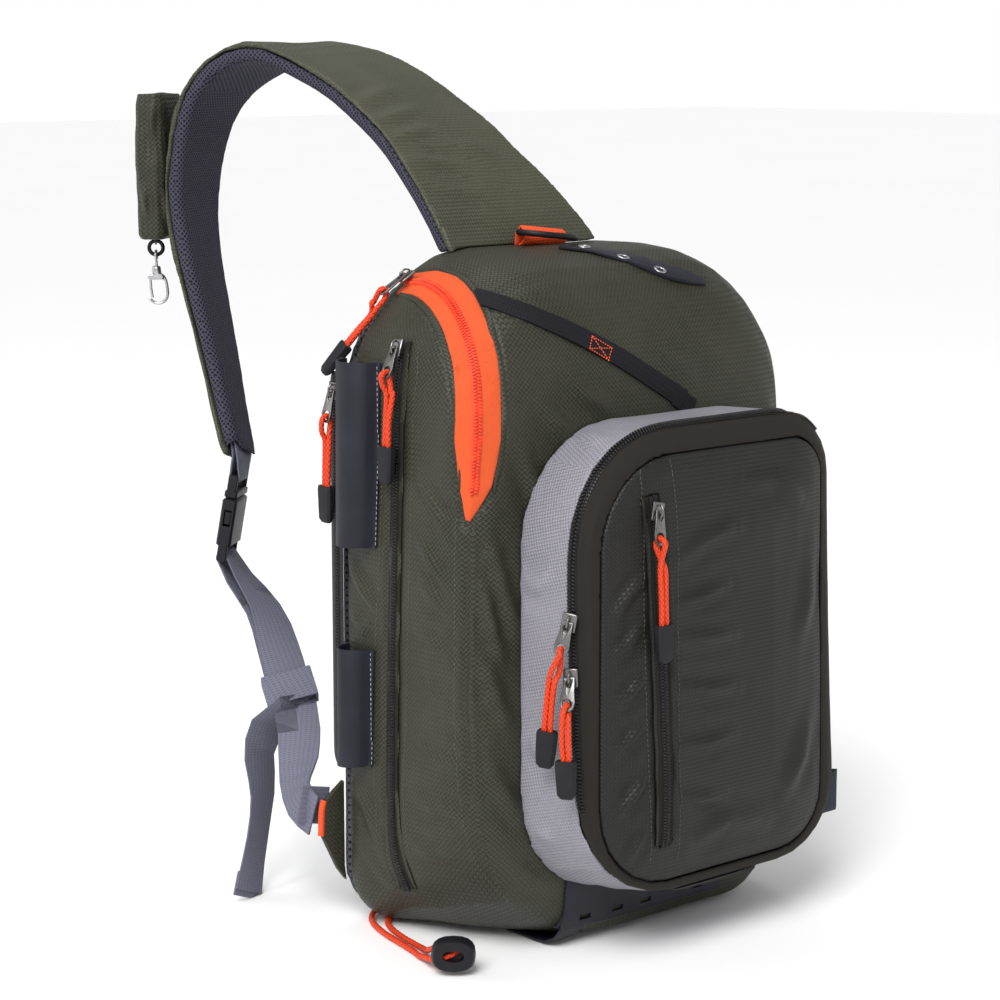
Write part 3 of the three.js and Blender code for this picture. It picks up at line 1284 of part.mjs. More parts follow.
for (const row of PULLS) {
  const seat = placeOn(zips[row.zip], row.share);
  const hangs = vec(...row.down).normalize();
  const flatDown = hangs.clone().addScaledVector(seat.out, -hangs.dot(seat.out)).normalize();
  const wide = seat.out.clone().cross(flatDown).normalize();
  const seatFrame = basis(wide, flatDown, seat.out, seat.at);
  const low = COIL_RISE + 2.2 * GAP;
  const top = low + SLIDER.plate;
  const plate = soften(SLIDER.width, SLIDER.length, low, top, 0.5);
  const rise = SLIDER.bridge;
  const half = SLIDER.span / 2;
  const bridge = [
    vec(0, -half, top - 0.8),
    vec(0, -half, top + rise * 0.5),
    vec(0, -half * 0.5, top + rise),
    vec(0, half * 0.5, top + rise),
    vec(0, half, top + rise * 0.5),
    vec(0, half, top - 0.8),
  ];
  add(row.name + "_slider", placed(plate.add(cordSolid(bridge, SLIDER.wire / 2)), seatFrame), "metal");

  // The tab's upper bar lies under the bridge; its own frame runs down the way it hangs.
  const pivot = vec(0, 0, top + GAP + TAB.thick / 2).applyMatrix4(seatFrame);
  const tabOut = wide.clone().cross(hangs).negate().normalize();
  if (tabOut.dot(seat.out) < 0) tabOut.negate();
  const tabAcross = hangs.clone().cross(tabOut).normalize();
  const tabFrame = basis(tabAcross, hangs, tabOut, pivot);
  const eyeAt = TAB.length - TAB.width / 2;
  const outlineOf = (z) => [
    vec(-TAB.width * 0.34, -TAB.thick / 2, z),
    vec(TAB.width * 0.34, -TAB.thick / 2, z),
    vec(TAB.width * 0.4, TAB.length * 0.35, z),
    vec(TAB.width * 0.5, eyeAt - 1, z),
    vec(TAB.width * 0.42, eyeAt + 2.6, z),
    vec(TAB.width * 0.16, eyeAt + TAB.width / 2, z),
    vec(-TAB.width * 0.16, eyeAt + TAB.width / 2, z),
    vec(-TAB.width * 0.42, eyeAt + 2.6, z),
    vec(-TAB.width * 0.5, eyeAt - 1, z),
    vec(-TAB.width * 0.4, TAB.length * 0.35, z),
  ];
  const through = (radius, y, stretch) =>
    solidOf(
      new THREE.CylinderGeometry(radius, radius, 6, 12)
        .rotateX(Math.PI / 2)
        .scale(1, stretch, 1)
        .translate(0, y, 0),
    );
  const plateSolid = loft([outlineOf(-TAB.thick / 2), outlineOf(TAB.thick / 2)])
    .subtract(through(TAB.loop, TAB.thick * 0.6 + TAB.loop * 1.25, 1.25))
    .subtract(through(TAB.eye, eyeAt, 1));
  add(row.name + "_tab", placed(plateSolid, tabFrame), "metal");

  const radius = PULL_CORD / 2;
  const eyePoint = vec(0, eyeAt, 0).applyMatrix4(tabFrame);
  const cordPoints = row.cord.map((p) => vec(...p));
  const endPoint = cordPoints[cordPoints.length - 1];
  const endDown = endPoint.clone().sub(cordPoints[cordPoints.length - 2]).normalize();
  const beside = tabAcross.clone().addScaledVector(endDown, -tabAcross.dot(endDown)).normalize();
  const strand = (side) => {
    const clear = TAB.thick / 2 + 3 * GAP + radius;
    const near = eyePoint
      .clone()
      .addScaledVector(hangs, TAB.eye + 1.2)
      .addScaledVector(tabOut, side * clear);
    const below = cordPoints[0]
      .clone()
      .lerp(near, 0.45)
      .addScaledVector(tabOut, side * radius * 0.4)
      .addScaledVector(beside, side * radius * 0.9);
    return [
      near,
      below,
      ...cordPoints.map((p) => p.clone().addScaledVector(beside, side * (radius + 0.2))),
    ];
  };
  const crown = [-1, 0, 1].map((side) =>
    eyePoint
      .clone()
      .addScaledVector(tabOut, side * 1.5)
      .addScaledVector(hangs, Math.abs(side) * 0.9 - 0.6),
  );
  const path = [...strand(-1).reverse(), ...crown, ...strand(1)];
  const rubberFrame = basis(
    beside,
    endDown.clone().cross(beside).normalize(),
    endDown,
    endPoint.clone().addScaledVector(endDown, -6),
  );
  const rubberRings = [
    [0, 0.9, 1],
    [2, 1, 1],
    [RUBBER.length * 0.6, 0.94, 0.86],
    [RUBBER.length * 0.9, 0.86, 0.8],
    [RUBBER.length, 0.6, 0.5],
  ].map(([z, w, t]) => {
    const x = (RUBBER.width / 2) * w;
    const y = (RUBBER.thick / 2) * t;
    const c = 1.3;
    return [
      vec(x - c, -y, z),
      vec(x, -y + c, z),
      vec(x, y - c, z),
      vec(x - c, y, z),
      vec(-x + c, y, z),
      vec(-x, y - c, z),
      vec(-x, -y + c, z),
      vec(-x + c, -y, z),
    ];
  });
  add(row.name + "_cord", cordSolid(path, radius), "orange");
  const hole = [1, -1].map((side) => {
    const line = strand(side).slice(-2);
    line.push(endPoint.clone().addScaledVector(endDown, 0.5).addScaledVector(beside, side * (radius + 0.2)));
    line.splice(1, 1);
    return cordSolid(line, radius + GAP + 0.1);
  });
  add(
    row.name + "_end",
    placed(loft(rubberRings), rubberFrame).subtract(hole[0]).subtract(hole[1]),
    "black",
  );
}

// Base cord and its lock
const basePoints = BASE_LOOP.map((p) => vec(...p));
const baseCurve = new THREE.CatmullRomCurve3(basePoints, false, "centripetal");
const cordShape = (radius) =>
  new THREE.Shape(roundSection(radius).map(([x, y]) => new THREE.Vector2(x, y)));
const baseCord = (radius) =>
  solidOf(new THREE.ExtrudeGeometry(cordShape(radius), { steps: 34, extrudePath: baseCurve }));
add("base_cord", baseCord(BASE_CORD / 2).subtract(bodyAndPad), "orange");
const lockAcross = vec(0.766, -0.643, 0);
const lockFrame = basis(lockAcross, vec(0, 0, 1), vec(-0.643, -0.766, 0), vec(...LOCK.at));
const oval = (width, height, z) => {
  const ring = [];
  for (let k = 0; k < 20; k++) {
    const t = (2 * Math.PI * k) / 20;
    const c = Math.cos(t);
    const d = Math.sin(t);
    ring.push(
      vec(
        (width / 2) * Math.sign(c) * Math.pow(Math.abs(c), 0.8),
        (height / 2) * Math.sign(d) * Math.pow(Math.abs(d), 0.8),
        z,
      ),
    );
  }
  return ring;
};
const lockWindow = [0, LOCK.thick].map((z) => oval(LOCK.windowLength, LOCK.windowHeight, z));
const lockBody = loft([
  oval(LOCK.length * 0.86, LOCK.height * 0.82, -LOCK.thick / 2),
  oval(LOCK.length, LOCK.height, -LOCK.thick / 4),
  oval(LOCK.length, LOCK.height, LOCK.thick / 4),
  oval(LOCK.length * 0.9, LOCK.height * 0.88, LOCK.thick / 2),
]).subtract(loft(lockWindow));
let cordLock = placed(lockBody, lockFrame);
for (const clear of [GAP, 0.5 * GAP, 0]) {
  cordLock = cordLock.subtract(baseCord(BASE_CORD / 2 + clear));
}
add("cord_lock", largest(cordLock), "black");

export default bag;
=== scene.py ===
"""Fishing tackle sling bag: the looks of every piece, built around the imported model.

All lengths are in metres in the bag's own frame: +Z up, the front pocket faces -Y.
"""

import heapq
import logging
import math
from dataclasses import dataclass, field
from enum import Enum
from typing import Iterable, Optional, Sequence, Union

import bmesh
import bpy
import numpy as np
from mathutils import Matrix, Vector
from mathutils.bvhtree import BVHTree


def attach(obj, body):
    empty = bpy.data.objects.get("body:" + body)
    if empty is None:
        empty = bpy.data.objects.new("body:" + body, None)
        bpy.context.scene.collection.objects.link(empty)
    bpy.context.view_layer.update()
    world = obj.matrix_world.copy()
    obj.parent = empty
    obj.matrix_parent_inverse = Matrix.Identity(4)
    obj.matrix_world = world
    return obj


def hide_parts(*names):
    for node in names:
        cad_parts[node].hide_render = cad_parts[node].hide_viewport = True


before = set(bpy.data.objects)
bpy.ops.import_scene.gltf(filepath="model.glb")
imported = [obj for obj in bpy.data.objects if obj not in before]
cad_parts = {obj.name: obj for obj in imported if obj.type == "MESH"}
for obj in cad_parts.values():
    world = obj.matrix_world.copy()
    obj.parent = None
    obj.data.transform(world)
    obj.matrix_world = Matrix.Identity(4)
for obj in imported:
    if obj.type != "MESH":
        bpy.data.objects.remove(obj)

LOG = logging.getLogger("sling_bag")
MM = 0.001
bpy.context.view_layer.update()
FOLD_NARROWING = 0.8
FOLD_DEEPENING = 2.6
COIL_WIDTH = 6.6 * MM
DIAGONAL = 0.785
CORD_SIDES = 20


class Body(str, Enum):
    """The bodies that pieces ride on."""

    BAG = "bag"
    RING = "d_ring"
    HOOK = "hook"
    GATE = "gate"


# Shader expressions


class Wire:
    """A number socket that adds Math nodes when it is used in an expression."""

    def __init__(self, graph: "Graph", socket: bpy.types.NodeSocket) -> None:
        """Keeps the graph and the output socket."""
        self.graph = graph
        self.socket = socket

    def __add__(self, other: "Number") -> "Wire":
        """Sum."""
        return self.graph.math("ADD", self, other)

    __radd__ = __add__

    def __sub__(self, other: "Number") -> "Wire":
        """Difference."""
        return self.graph.math("SUBTRACT", self, other)

    def __rsub__(self, other: "Number") -> "Wire":
        """Reflected difference."""
        return self.graph.math("SUBTRACT", other, self)

    def __mul__(self, other: "Number") -> "Wire":
        """Product."""
        return self.graph.math("MULTIPLY", self, other)

    __rmul__ = __mul__

    def __truediv__(self, other: "Number") -> "Wire":
        """Quotient."""
        return self.graph.math("DIVIDE", self, other)

    def __gt__(self, other: "Number") -> "Wire":
        """One where this is greater, otherwise zero."""
        return self.graph.math("GREATER_THAN", self, other)

    def __abs__(self) -> "Wire":
        """Absolute value."""
        return self.graph.math("ABSOLUTE", self)

    def sine(self) -> "Wire":
        """Sine of this value."""
        return self.graph.math("SINE", self)

    def fraction(self) -> "Wire":
        """Part after the decimal point."""
        return self.graph.math("FRACT", self)

    def power(self, exponent: float) -> "Wire":
        """This value to a power."""
        return self.graph.math("POWER", self, exponent)


Number = Union[float, Wire]
Colour = tuple[float, float, float]


class Graph:
    """One material's node tree with a Principled shader."""

    def __init__(self, name: str) -> None:
        """Makes the material.

        Args:
            name: the material's name.
        """
        self.material = bpy.data.materials.new(name)
        self.material.use_nodes = True
        self.tree = self.material.node_tree
        self.shader = self.tree.nodes["Principled BSDF"]

    def node(self, kind: str, settings: Optional[dict] = None, inputs: Optional[dict] = None) -> bpy.types.Node:
        """Adds a node.

        Args:
            kind: the node's type.
            settings: attributes that are set first.
            inputs: values or wires by socket name or index.

        Returns:
            The new node.
        """
        made = self.tree.nodes.new(kind)
        for key, value in (settings or {}).items():
            setattr(made, key, value)
        for key, value in (inputs or {}).items():
            self.plug(made.inputs[key], value)
        return made

    def plug(self, socket: bpy.types.NodeSocket, value: object) -> None:
        """Links a wire or a socket to an input, or sets its value."""
        if isinstance(value, Wire):
            self.tree.links.new(value.socket, socket)
        elif isinstance(value, bpy.types.NodeSocket):
            self.tree.links.new(value, socket)
        elif isinstance(value, tuple) and len(value) == 3 and socket.type == "RGBA":
            socket.default_value = (*value, 1.0)
        else:
            socket.default_value = value

    def math(self, operation: str, *values: Number) -> Wire:
        """Adds a Math node.

        Args:
            operation: the Math node's operation.
            values: its inputs.

        Returns:
            Its result.
        """
        made = self.node("ShaderNodeMath", {"operation": operation}, dict(enumerate(values)))
        return Wire(self, made.outputs[0])

    def mix(self, factor: Number, low: object, high: object) -> bpy.types.NodeSocket:
        """Mixes two colours by a factor and returns the colour socket."""
        made = self.node("ShaderNodeMix", {"data_type": "RGBA"}, {0: factor, 6: low, 7: high})
        return made.outputs[2]

    def ramp(self, value: Number, low: float, high: float) -> Wire:
        """Maps a value from low..high to a smooth 0..1."""
        made = self.node(
            "ShaderNodeMapRange",
            {"interpolation_type": "SMOOTHSTEP"},
            {"Value": value, "From Min": low, "From Max": high},
        )
        return Wire(self, made.outputs["Result"])

    def uv(self) -> tuple[Wire, Wire]:
        """The piece's own UV map in metres, as two wires."""
        split = self.node("ShaderNodeSeparateXYZ", inputs={0: self.node("ShaderNodeTexCoord").outputs["UV"]})
        return Wire(self, split.outputs[0]), Wire(self, split.outputs[1])

    def noise(self, size: float, detail: float = 2.0, rough: float = 0.5) -> Wire:
        """Noise over Object coordinates with features of a size in metres, 0..1."""
        coords = self.node("ShaderNodeTexCoord").outputs["Object"]
        inputs = {"Vector": coords, "Scale": 1 / size, "Detail": detail, "Roughness": rough}
        made = self.node("ShaderNodeTexNoise", inputs=inputs)
        return Wire(self, made.outputs[0])

    def bump(self, height: Number, depth: float, strength: float = 1.0) -> None:
        """Feeds a Bump node to the shader's Normal.

        Args:
            height: 0..1 height.
            depth: what a height of one stands for, in metres.
            strength: how much of it shows.
        """
        made = self.node("ShaderNodeBump", inputs={"Height": height, "Distance": depth, "Strength": strength})
        self.plug(self.shader.inputs["Normal"], made.outputs[0])

    def set(self, **sockets: object) -> None:
        """Sets the shader's sockets, with underscores for spaces."""
        for name, value in sockets.items():
            self.plug(self.shader.inputs[name.replace("_", " ")], value)


def shade(colour: Colour, factor: float) -> Colour:
    """A colour made darker or lighter by a factor."""
    return tuple(channel * factor for channel in colour)


# Finishes


@dataclass(frozen=True)
class Weave:
    """Plain woven nylon whose threads cross in small squares."""

    name: str
    colour: Colour
    pitch: float = 2.2 * MM
    contrast: float = 0.5
    depth: float = 0.3 * MM
    roughness: float = 0.5
    shine: float = 0.32
    slant: float = 0.0

    def build(self) -> bpy.types.Material:
        """Builds the material."""
        graph = Graph(self.name)
        u, v = graph.uv()
        turn = 2 * math.pi / self.pitch
        c, s = math.cos(self.slant), math.sin(self.slant)
        warp = ((u * c - v * s) * turn * 0.5).sine()
        weft = ((u * s + v * c) * turn * 0.5).sine()
        over = (warp * weft) > 0.0
        height = over * abs(warp) + (1 - over) * abs(weft)
        fade = graph.noise(60 * MM, 3.0)
        fine = graph.noise(3 * MM, 3.0)
        tone = (height * 0.8 + fine * 0.3).power(2.0)
        dark = shade(self.colour, 1 - self.contrast)
        light = shade(self.colour, 1 + 3.2 * self.contrast)
        cloth = graph.mix(tone, dark, light)
        worn = graph.mix(graph.ramp(fade, 0.3, 0.75) * 0.35, cloth, light)
        graph.set(Base_Color=worn, Roughness=fine * 0.14 + (self.roughness - 0.07))
        graph.set(Specular_IOR_Level=self.shine)
        graph.bump(height * 0.8 + fine * 0.2, self.depth, 0.8)
        return graph.material


@dataclass(frozen=True)
class AirMesh:
    """Spacer mesh with rows of round holes over a darker backing."""

    name: str
    colour: Colour
    pitch: float = 3.0 * MM
    depth: float = 0.5 * MM

    def build(self) -> bpy.types.Material:
        """Builds the material."""
        graph = Graph(self.name)
        u, v = graph.uv()
        turn = 2 * math.pi / self.pitch
        rows = (u * turn).sine() * (v * turn * 0.866).sine()
        hole = graph.ramp(rows, 0.05, 0.6)
        fine = graph.noise(1.2 * MM, 2.0)
        thread = graph.mix(fine, shade(self.colour, 0.7), shade(self.colour, 1.35))
        graph.set(Base_Color=graph.mix(hole, thread, shade(self.colour, 0.18)), Roughness=0.85)
        graph.set(Specular_IOR_Level=0.15)
        graph.bump((1 - hole) * 0.85 + fine * 0.15, self.depth)
        return graph.material


@dataclass(frozen=True)
class Webbing:
    """Ribbed woven strap: ribs run across it and its edges are bound."""

    name: str
    colour: Colour
    rib: float = 1.5 * MM
    column: float = 3.2 * MM
    depth: float = 0.28 * MM

    def build(self) -> bpy.types.Material:
        """Builds the material."""
        graph = Graph(self.name)
        u, v = graph.uv()
        column = (u * (2 * math.pi / self.column)).sine()
        shifted = v + column * (0.22 * self.rib)
        ribs = abs((shifted * (math.pi / self.rib)).sine())
        grooves = abs((u * (math.pi / self.column)).sine())
        fine = graph.noise(0.8 * MM, 2.0)
        height = ribs * 0.6 + grooves * 0.25 + fine * 0.15
        cloth = graph.mix(height, shade(self.colour, 0.5), shade(self.colour, 1.25))
        graph.set(Base_Color=cloth, Roughness=0.6 + fine * 0.12, Specular_IOR_Level=0.15)
        graph.bump(height, self.depth)
        return graph.material


@dataclass(frozen=True)
class Braid:
    """Braided cord: strands cross each other round the cord."""

    name: str
    colour: Colour
    girth: float = 11.0 * MM
    strands: int = 4
    pitch: float = 3.4 * MM

    def build(self) -> bpy.types.Material:
        """Builds the material."""
        graph = Graph(self.name)
        u, v = graph.uv()
        around = u * (2 * math.pi * self.strands / self.girth)
        along = v * (2 * math.pi / self.pitch)
        right = (around * 0.5 + along * 0.5).sine()
        left = (around * 0.5 - along * 0.5).sine()
        over = (right * left) > 0.0
        height = over * abs(right) + (1 - over) * abs(left)
        fine = graph.noise(0.5 * MM, 2.0)
        tone = height * 0.8 + fine * 0.2
        cloth = graph.mix(tone, shade(self.colour, 0.45), shade(self.colour, 1.25))
        graph.set(Base_Color=cloth, Roughness=0.5, Specular_IOR_Level=0.3)
        graph.bump(tone, 0.35 * MM)
        return graph.material


@dataclass(frozen=True)
class Herringbone:
    """Zip tape woven in herringbone columns along its length."""

    name: str
    colour: Colour
    column: float = 3.0 * MM
    pitch: float = 0.9 * MM

    def build(self) -> bpy.types.Material:
        """Builds the material."""
        graph = Graph(self.name)
        u, v = graph.uv()
        zigzag = abs((u / (2 * self.column)).fraction() - 0.5) * (2 * self.column)
        height = abs(((v + zigzag) * (math.pi / self.pitch)).sine())
        fine = graph.noise(0.9 * MM, 2.0)
        tone = height * 0.75 + fine * 0.25
        cloth = graph.mix(tone, shade(self.colour, 0.6), shade(self.colour, 1.4))
        graph.set(Base_Color=cloth, Roughness=0.66, Specular_IOR_Level=0.15)
        graph.bump(tone, 0.14 * MM)
        return graph.material


@dataclass(frozen=True)
class Coated:
    """Cloth with a smooth coat: a soft shine with slight unevenness."""

    name: str
    colour: Colour
    roughness: float = 0.46

    def build(self) -> bpy.types.Material:
        """Builds the material."""
        graph = Graph(self.name)
        broad = graph.noise(30 * MM, 3.0)
        fine = graph.noise(0.9 * MM, 3.0)
        worn = graph.mix(graph.ramp(broad, 0.35, 0.8), shade(self.colour, 0.85), shade(self.colour, 1.3))
        graph.set(Base_Color=worn, Roughness=self.roughness + fine * 0.1, Specular_IOR_Level=0.25)
        graph.bump(fine * 0.5 + broad * 0.5, 0.12 * MM, 0.6)
        return graph.material


@dataclass(frozen=True)
class Moulded:
    """Moulded plastic or rubber with a fine grain and lighter worn patches."""

    name: str
    colour: Colour
    roughness: float = 0.4
    grain: float = 0.05 * MM

    def build(self) -> bpy.types.Material:
        """Builds the material."""
        graph = Graph(self.name)
        grain = graph.noise(0.5 * MM, 2.0)
        patch = graph.noise(9 * MM, 3.0)
        worn = graph.mix(graph.ramp(patch, 0.45, 0.8), self.colour, shade(self.colour, 1.6))
        graph.set(Base_Color=worn, Roughness=self.roughness + patch * 0.12, Specular_IOR_Level=0.28)
        graph.bump(grain, self.grain, 0.5)
        return graph.material


@dataclass(frozen=True)
class Metal:
    """Plated cast metal with faint rubbing marks."""

    name: str
    colour: Colour
    roughness: float = 0.24

    def build(self) -> bpy.types.Material:
        """Builds the material."""
        graph = Graph(self.name)
        patch = graph.noise(4 * MM, 4.0, 0.65)
        graph.set(
            Base_Color=graph.mix(patch, shade(self.colour, 0.7), shade(self.colour, 1.2)),
            Metallic=1.0,
            Roughness=self.roughness + patch * 0.16,
        )
        graph.bump(patch, 0.02 * MM, 0.4)
        return graph.material


class Finishes:
    """Every finish of the bag, built once."""

    def __init__(self) -> None:
        """Builds the materials."""
        self.olive = Weave("olive_nylon", (0.0120, 0.0122, 0.0075), contrast=0.85, slant=DIAGONAL).build()
        # panel: the body's olive nylon again, in a much darker colour that is painted shade on the pocket's front
        # and its zip lips
        self.panel = Weave(
            "olive_nylon_painted_shade", (0.0045, 0.0045, 0.0036), pitch=1.8 * MM, contrast=0.8, slant=DIAGONAL
        ).build()
        self.strap = Weave("strap_nylon", (0.030, 0.031, 0.019), contrast=0.5, depth=0.16 * MM).build()
        self.grey = Weave(
            "grey_nylon", (0.165, 0.16, 0.182), pitch=2.0 * MM, contrast=0.28, depth=0.2 * MM, slant=0.3
        ).build()
        self.mesh = AirMesh("air_mesh", (0.052, 0.050, 0.072)).build()
        self.back = AirMesh("back_mesh", (0.07, 0.07, 0.082), pitch=4.2 * MM).build()
        self.webbing = Webbing("grey_webbing", (0.15, 0.15, 0.20)).build()
        self.dark_webbing = Webbing("black_webbing", (0.010, 0.010, 0.013), rib=1.9 * MM).build()
        self.navy_webbing = Webbing("navy_webbing", (0.035, 0.037, 0.052)).build()
        self.cord = Braid("orange_braid", (0.70, 0.05, 0.010)).build()
        self.orange_tape = Herringbone("orange_tape", (0.60, 0.085, 0.024)).build()
        self.orange_web = Webbing("orange_webbing", (0.84, 0.09, 0.025)).build()
        self.orange_coil = Moulded("orange_coil", (0.72, 0.06, 0.02), 0.35).build()
        self.tape = Herringbone("brown_black_tape", (0.017, 0.015, 0.012)).build()
        self.coil = Moulded("black_coil", (0.012, 0.011, 0.011), 0.3).build()
        self.sheet = Coated("navy_sheet", (0.014, 0.014, 0.022)).build()
        self.plastic = Moulded("black_plastic", (0.006, 0.006, 0.008), 0.42).build()
        self.rubber = Moulded("black_rubber", (0.008, 0.008, 0.010), 0.55, 0.03 * MM).build()
        self.metal = Metal("gunmetal", (0.20, 0.195, 0.19)).build()
        self.nickel = Metal("nickel", (0.50, 0.50, 0.52), 0.2).build()
        self.olive_thread = Moulded("olive_thread", (0.085, 0.088, 0.064), 0.6).build()
        self.grey_thread = Moulded("grey_thread", (0.40, 0.40, 0.42), 0.6).build()
        self.orange_thread = Moulded("orange_thread", (0.85, 0.10, 0.03), 0.6).build()


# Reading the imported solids


@dataclass
class Solid:
    """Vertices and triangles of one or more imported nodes, with a search tree."""

    nodes: Sequence[str]
    points: np.ndarray = field(init=False)
    faces: np.ndarray = field(init=False)
    tree: BVHTree = field(init=False)

    def __post_init__(self) -> None:
        """Gathers the nodes' triangles and merges what coincides."""
        points, faces, base = [], [], 0
        for name in self.nodes:
            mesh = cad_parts[name].data
            co = np.zeros(len(mesh.vertices) * 3)
            mesh.vertices.foreach_get("co", co)
            mesh.calc_loop_triangles()
            tri = np.zeros(len(mesh.loop_triangles) * 3, dtype=np.int32)
            mesh.loop_triangles.foreach_get("vertices", tri)
            points.append(co.reshape(-1, 3))
            faces.append(tri.reshape(-1, 3) + base)
            base += len(mesh.vertices)
        every = np.concatenate(points)
        _, first, inverse = np.unique(np.round(every * 2e5), axis=0, return_index=True, return_inverse=True)
        self.points = every[first]
        self.faces = inverse.reshape(-1)[np.concatenate(faces)]
        self.tree = BVHTree.FromPolygons(self.points.tolist(), self.faces.tolist())

    def distances(self, sources: Iterable[int]) -> np.ndarray:
        """Distance along edges from the source vertices to every vertex."""
        links: list[dict[int, float]] = [{} for _ in self.points]
        for face in self.faces:
            for a, b in ((face[0], face[1]), (face[1], face[2]), (face[2], face[0])):
                length = float(np.linalg.norm(self.points[a] - self.points[b]))
                links[a][b] = length
                links[b][a] = length
        found = np.full(len(self.points), np.inf)
        queue = [(0.0, int(s)) for s in sources]
        for _, s in queue:
            found[s] = 0.0
        heapq.heapify(queue)
        while queue:
            far, at = heapq.heappop(queue)
            if far > found[at]:
                continue
            for to, length in links[at].items():
                if far + length < found[to]:
                    found[to] = far + length
                    heapq.heappush(queue, (far + length, to))
        return found


@dataclass
class Ribbon:
    """A line through a long node with its directions, in even steps."""

    at: np.ndarray
    along: np.ndarray
    across: np.ndarray
    out: np.ndarray
    half: np.ndarray

    @property
    def length(self) -> float:
        """Length of the line."""
        return float(np.linalg.norm(np.diff(self.at, axis=0), axis=1).sum())

    @property
    def stations(self) -> np.ndarray:
        """Distance of each step from the start."""
        return distances_along(self.at)

    @classmethod
    def of(
        cls, node: str, width: float, bin_size: float, step: float, top_first: bool = True, soften: int = 0
    ) -> "Ribbon":
        """Finds the line of a long node.

        Args:
            node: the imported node.
            width: its width, to find its end.
            bin_size: spacing of the averages along it.
            step: spacing of the steps that come back.
            top_first: whether the line starts at its higher end.
            soften: how often each average is blended with its neighbours.

        Returns:
            The line with its directions.
        """
        solid = Solid([node])
        first = int(np.argmax(solid.distances([0])))
        rough = solid.distances([first])
        last = int(np.argmax(rough))
        if (solid.points[first][2] < solid.points[last][2]) == top_first:
            first = last
            rough = solid.distances([first])
        near = np.argsort(np.abs(rough - 1.8 * width))[:12]
        lead = solid.points[first] - solid.points[near].mean(0)
        lead /= np.linalg.norm(lead)
        away = (solid.points - solid.points[first]) @ lead
        close = rough < 1.3 * width
        sources = np.where(close & (away > -0.0012))[0]
        far = solid.distances(sources)
        rows, halves = [], []
        for k in range(int(far.max() / bin_size) + 1):
            inside = solid.points[(far >= k * bin_size) & (far < (k + 1) * bin_size)]
            if len(inside) >= 4:
                rows.append(inside.mean(0))
                halves.append(inside)
        centre = smooth_rows(np.array(rows), soften)
        along = unit(np.gradient(centre, axis=0))
        across, half = [], []
        for k, inside in enumerate(halves):
            flat = inside - centre[k]
            flat = flat - np.outer(flat @ along[k], along[k])
            _, _, basis = np.linalg.svd(flat)
            side = basis[0] - along[k] * (basis[0] @ along[k])
            side /= np.linalg.norm(side)
            if across and side @ across[-1] < 0:
                side = -side
            across.append(side)
            half.append(np.abs(flat @ side).max())
        centre[0] = centre[0] + unit(centre[0] - centre[1]) * min(bin_size / 2, 0.004)
        centre[-1] = centre[-1] + unit(centre[-1] - centre[-2]) * min(bin_size / 2, 0.004)
        return cls.even(centre, np.array(across), np.array(half), step)

    @classmethod
    def even(cls, centre: np.ndarray, across: np.ndarray, half: np.ndarray, step: float) -> "Ribbon":
        """Lays a smooth line through the points in even steps.

        Args:
            centre: points of the line.
            across: direction across it at each point.
            half: half width at each point.
            step: spacing of the new steps.

        Returns:
            The resampled ribbon.
        """
        at = smooth_line(centre, step)
        old = distances_along(centre)
        new = np.linspace(0, old[-1], len(at))
        side = np.stack([np.interp(new, old, across[:, i]) for i in range(3)], axis=1)
        along = unit(np.gradient(at, axis=0))
        side = unit(side - along * np.sum(side * along, axis=1, keepdims=True))
        return cls(at, along, side, np.cross(along, side), np.interp(new, old, half))


def unit(rows: np.ndarray) -> np.ndarray:
    """Each row, or one vector, at length one."""
    return rows / np.maximum(np.linalg.norm(rows, axis=-1, keepdims=True), 1e-12)


def distances_along(line: np.ndarray) -> np.ndarray:
    """Distance of each point of a line from its start."""
    return np.concatenate([[0], np.cumsum(np.linalg.norm(np.diff(line, axis=0), axis=1))])


def smooth_line(points: np.ndarray, step: float) -> np.ndarray:
    """A Catmull-Rom line through the points in even steps.

    Args:
        points: points of the line.
        step: spacing of the new points.

    Returns:
        The new points.
    """
    ends = np.concatenate([[2 * points[0] - points[1]], points, [2 * points[-1] - points[-2]]])
    fine = []
    for a, b, c, d in zip(ends[:-3], ends[1:-2], ends[2:-1], ends[3:]):
        for t in np.linspace(0, 1, 12, endpoint=False):
            fine.append(
                0.5 * (2 * b + (c - a) * t + (2 * a - 5 * b + 4 * c - d) * t**2 + (3 * b - a - 3 * c + d) * t**3)
            )
    fine.append(points[-1])
    line = np.array(fine)
    far = distances_along(line)
    count = max(3, int(round(far[-1] / step)) + 1)
    even = np.linspace(0, far[-1], count)
    return np.stack([np.interp(even, far, line[:, i]) for i in range(3)], axis=1)


# Modelling


def clear_selection() -> None:
    """Leaves nothing selected."""
    if bpy.context.object and bpy.context.object.mode != "OBJECT":
        bpy.ops.object.mode_set(mode="OBJECT")
    bpy.ops.object.select_all(action="DESELECT")


def linked(name: str, data: bpy.types.ID) -> bpy.types.Object:
    """A new object in the scene that holds the data."""
    holder = bpy.data.objects.new(name, data)
    bpy.context.scene.collection.objects.link(holder)
    return holder


def pick(piece: bpy.types.Object) -> None:
    """Makes a piece the only selected and the active one."""
    clear_selection()
    piece.select_set(True)
    bpy.context.view_layer.objects.active = piece


def get_points(piece: bpy.types.Object) -> np.ndarray:
    """A piece's vertices."""
    co = np.zeros(len(piece.data.vertices) * 3)
    piece.data.vertices.foreach_get("co", co)
    return co.reshape(-1, 3)


def get_normals(piece: bpy.types.Object) -> np.ndarray:
    """A piece's vertex normals."""
    rows = np.zeros(len(piece.data.vertices) * 3)
    piece.data.vertex_normals.foreach_get("vector", rows)
    return rows.reshape(-1, 3)


def corner_vertices(mesh: bpy.types.Mesh) -> np.ndarray:
    """The vertex of each face corner."""
    rows = np.zeros(len(mesh.loops), dtype=np.int32)
    mesh.loops.foreach_get("vertex_index", rows)
    return rows


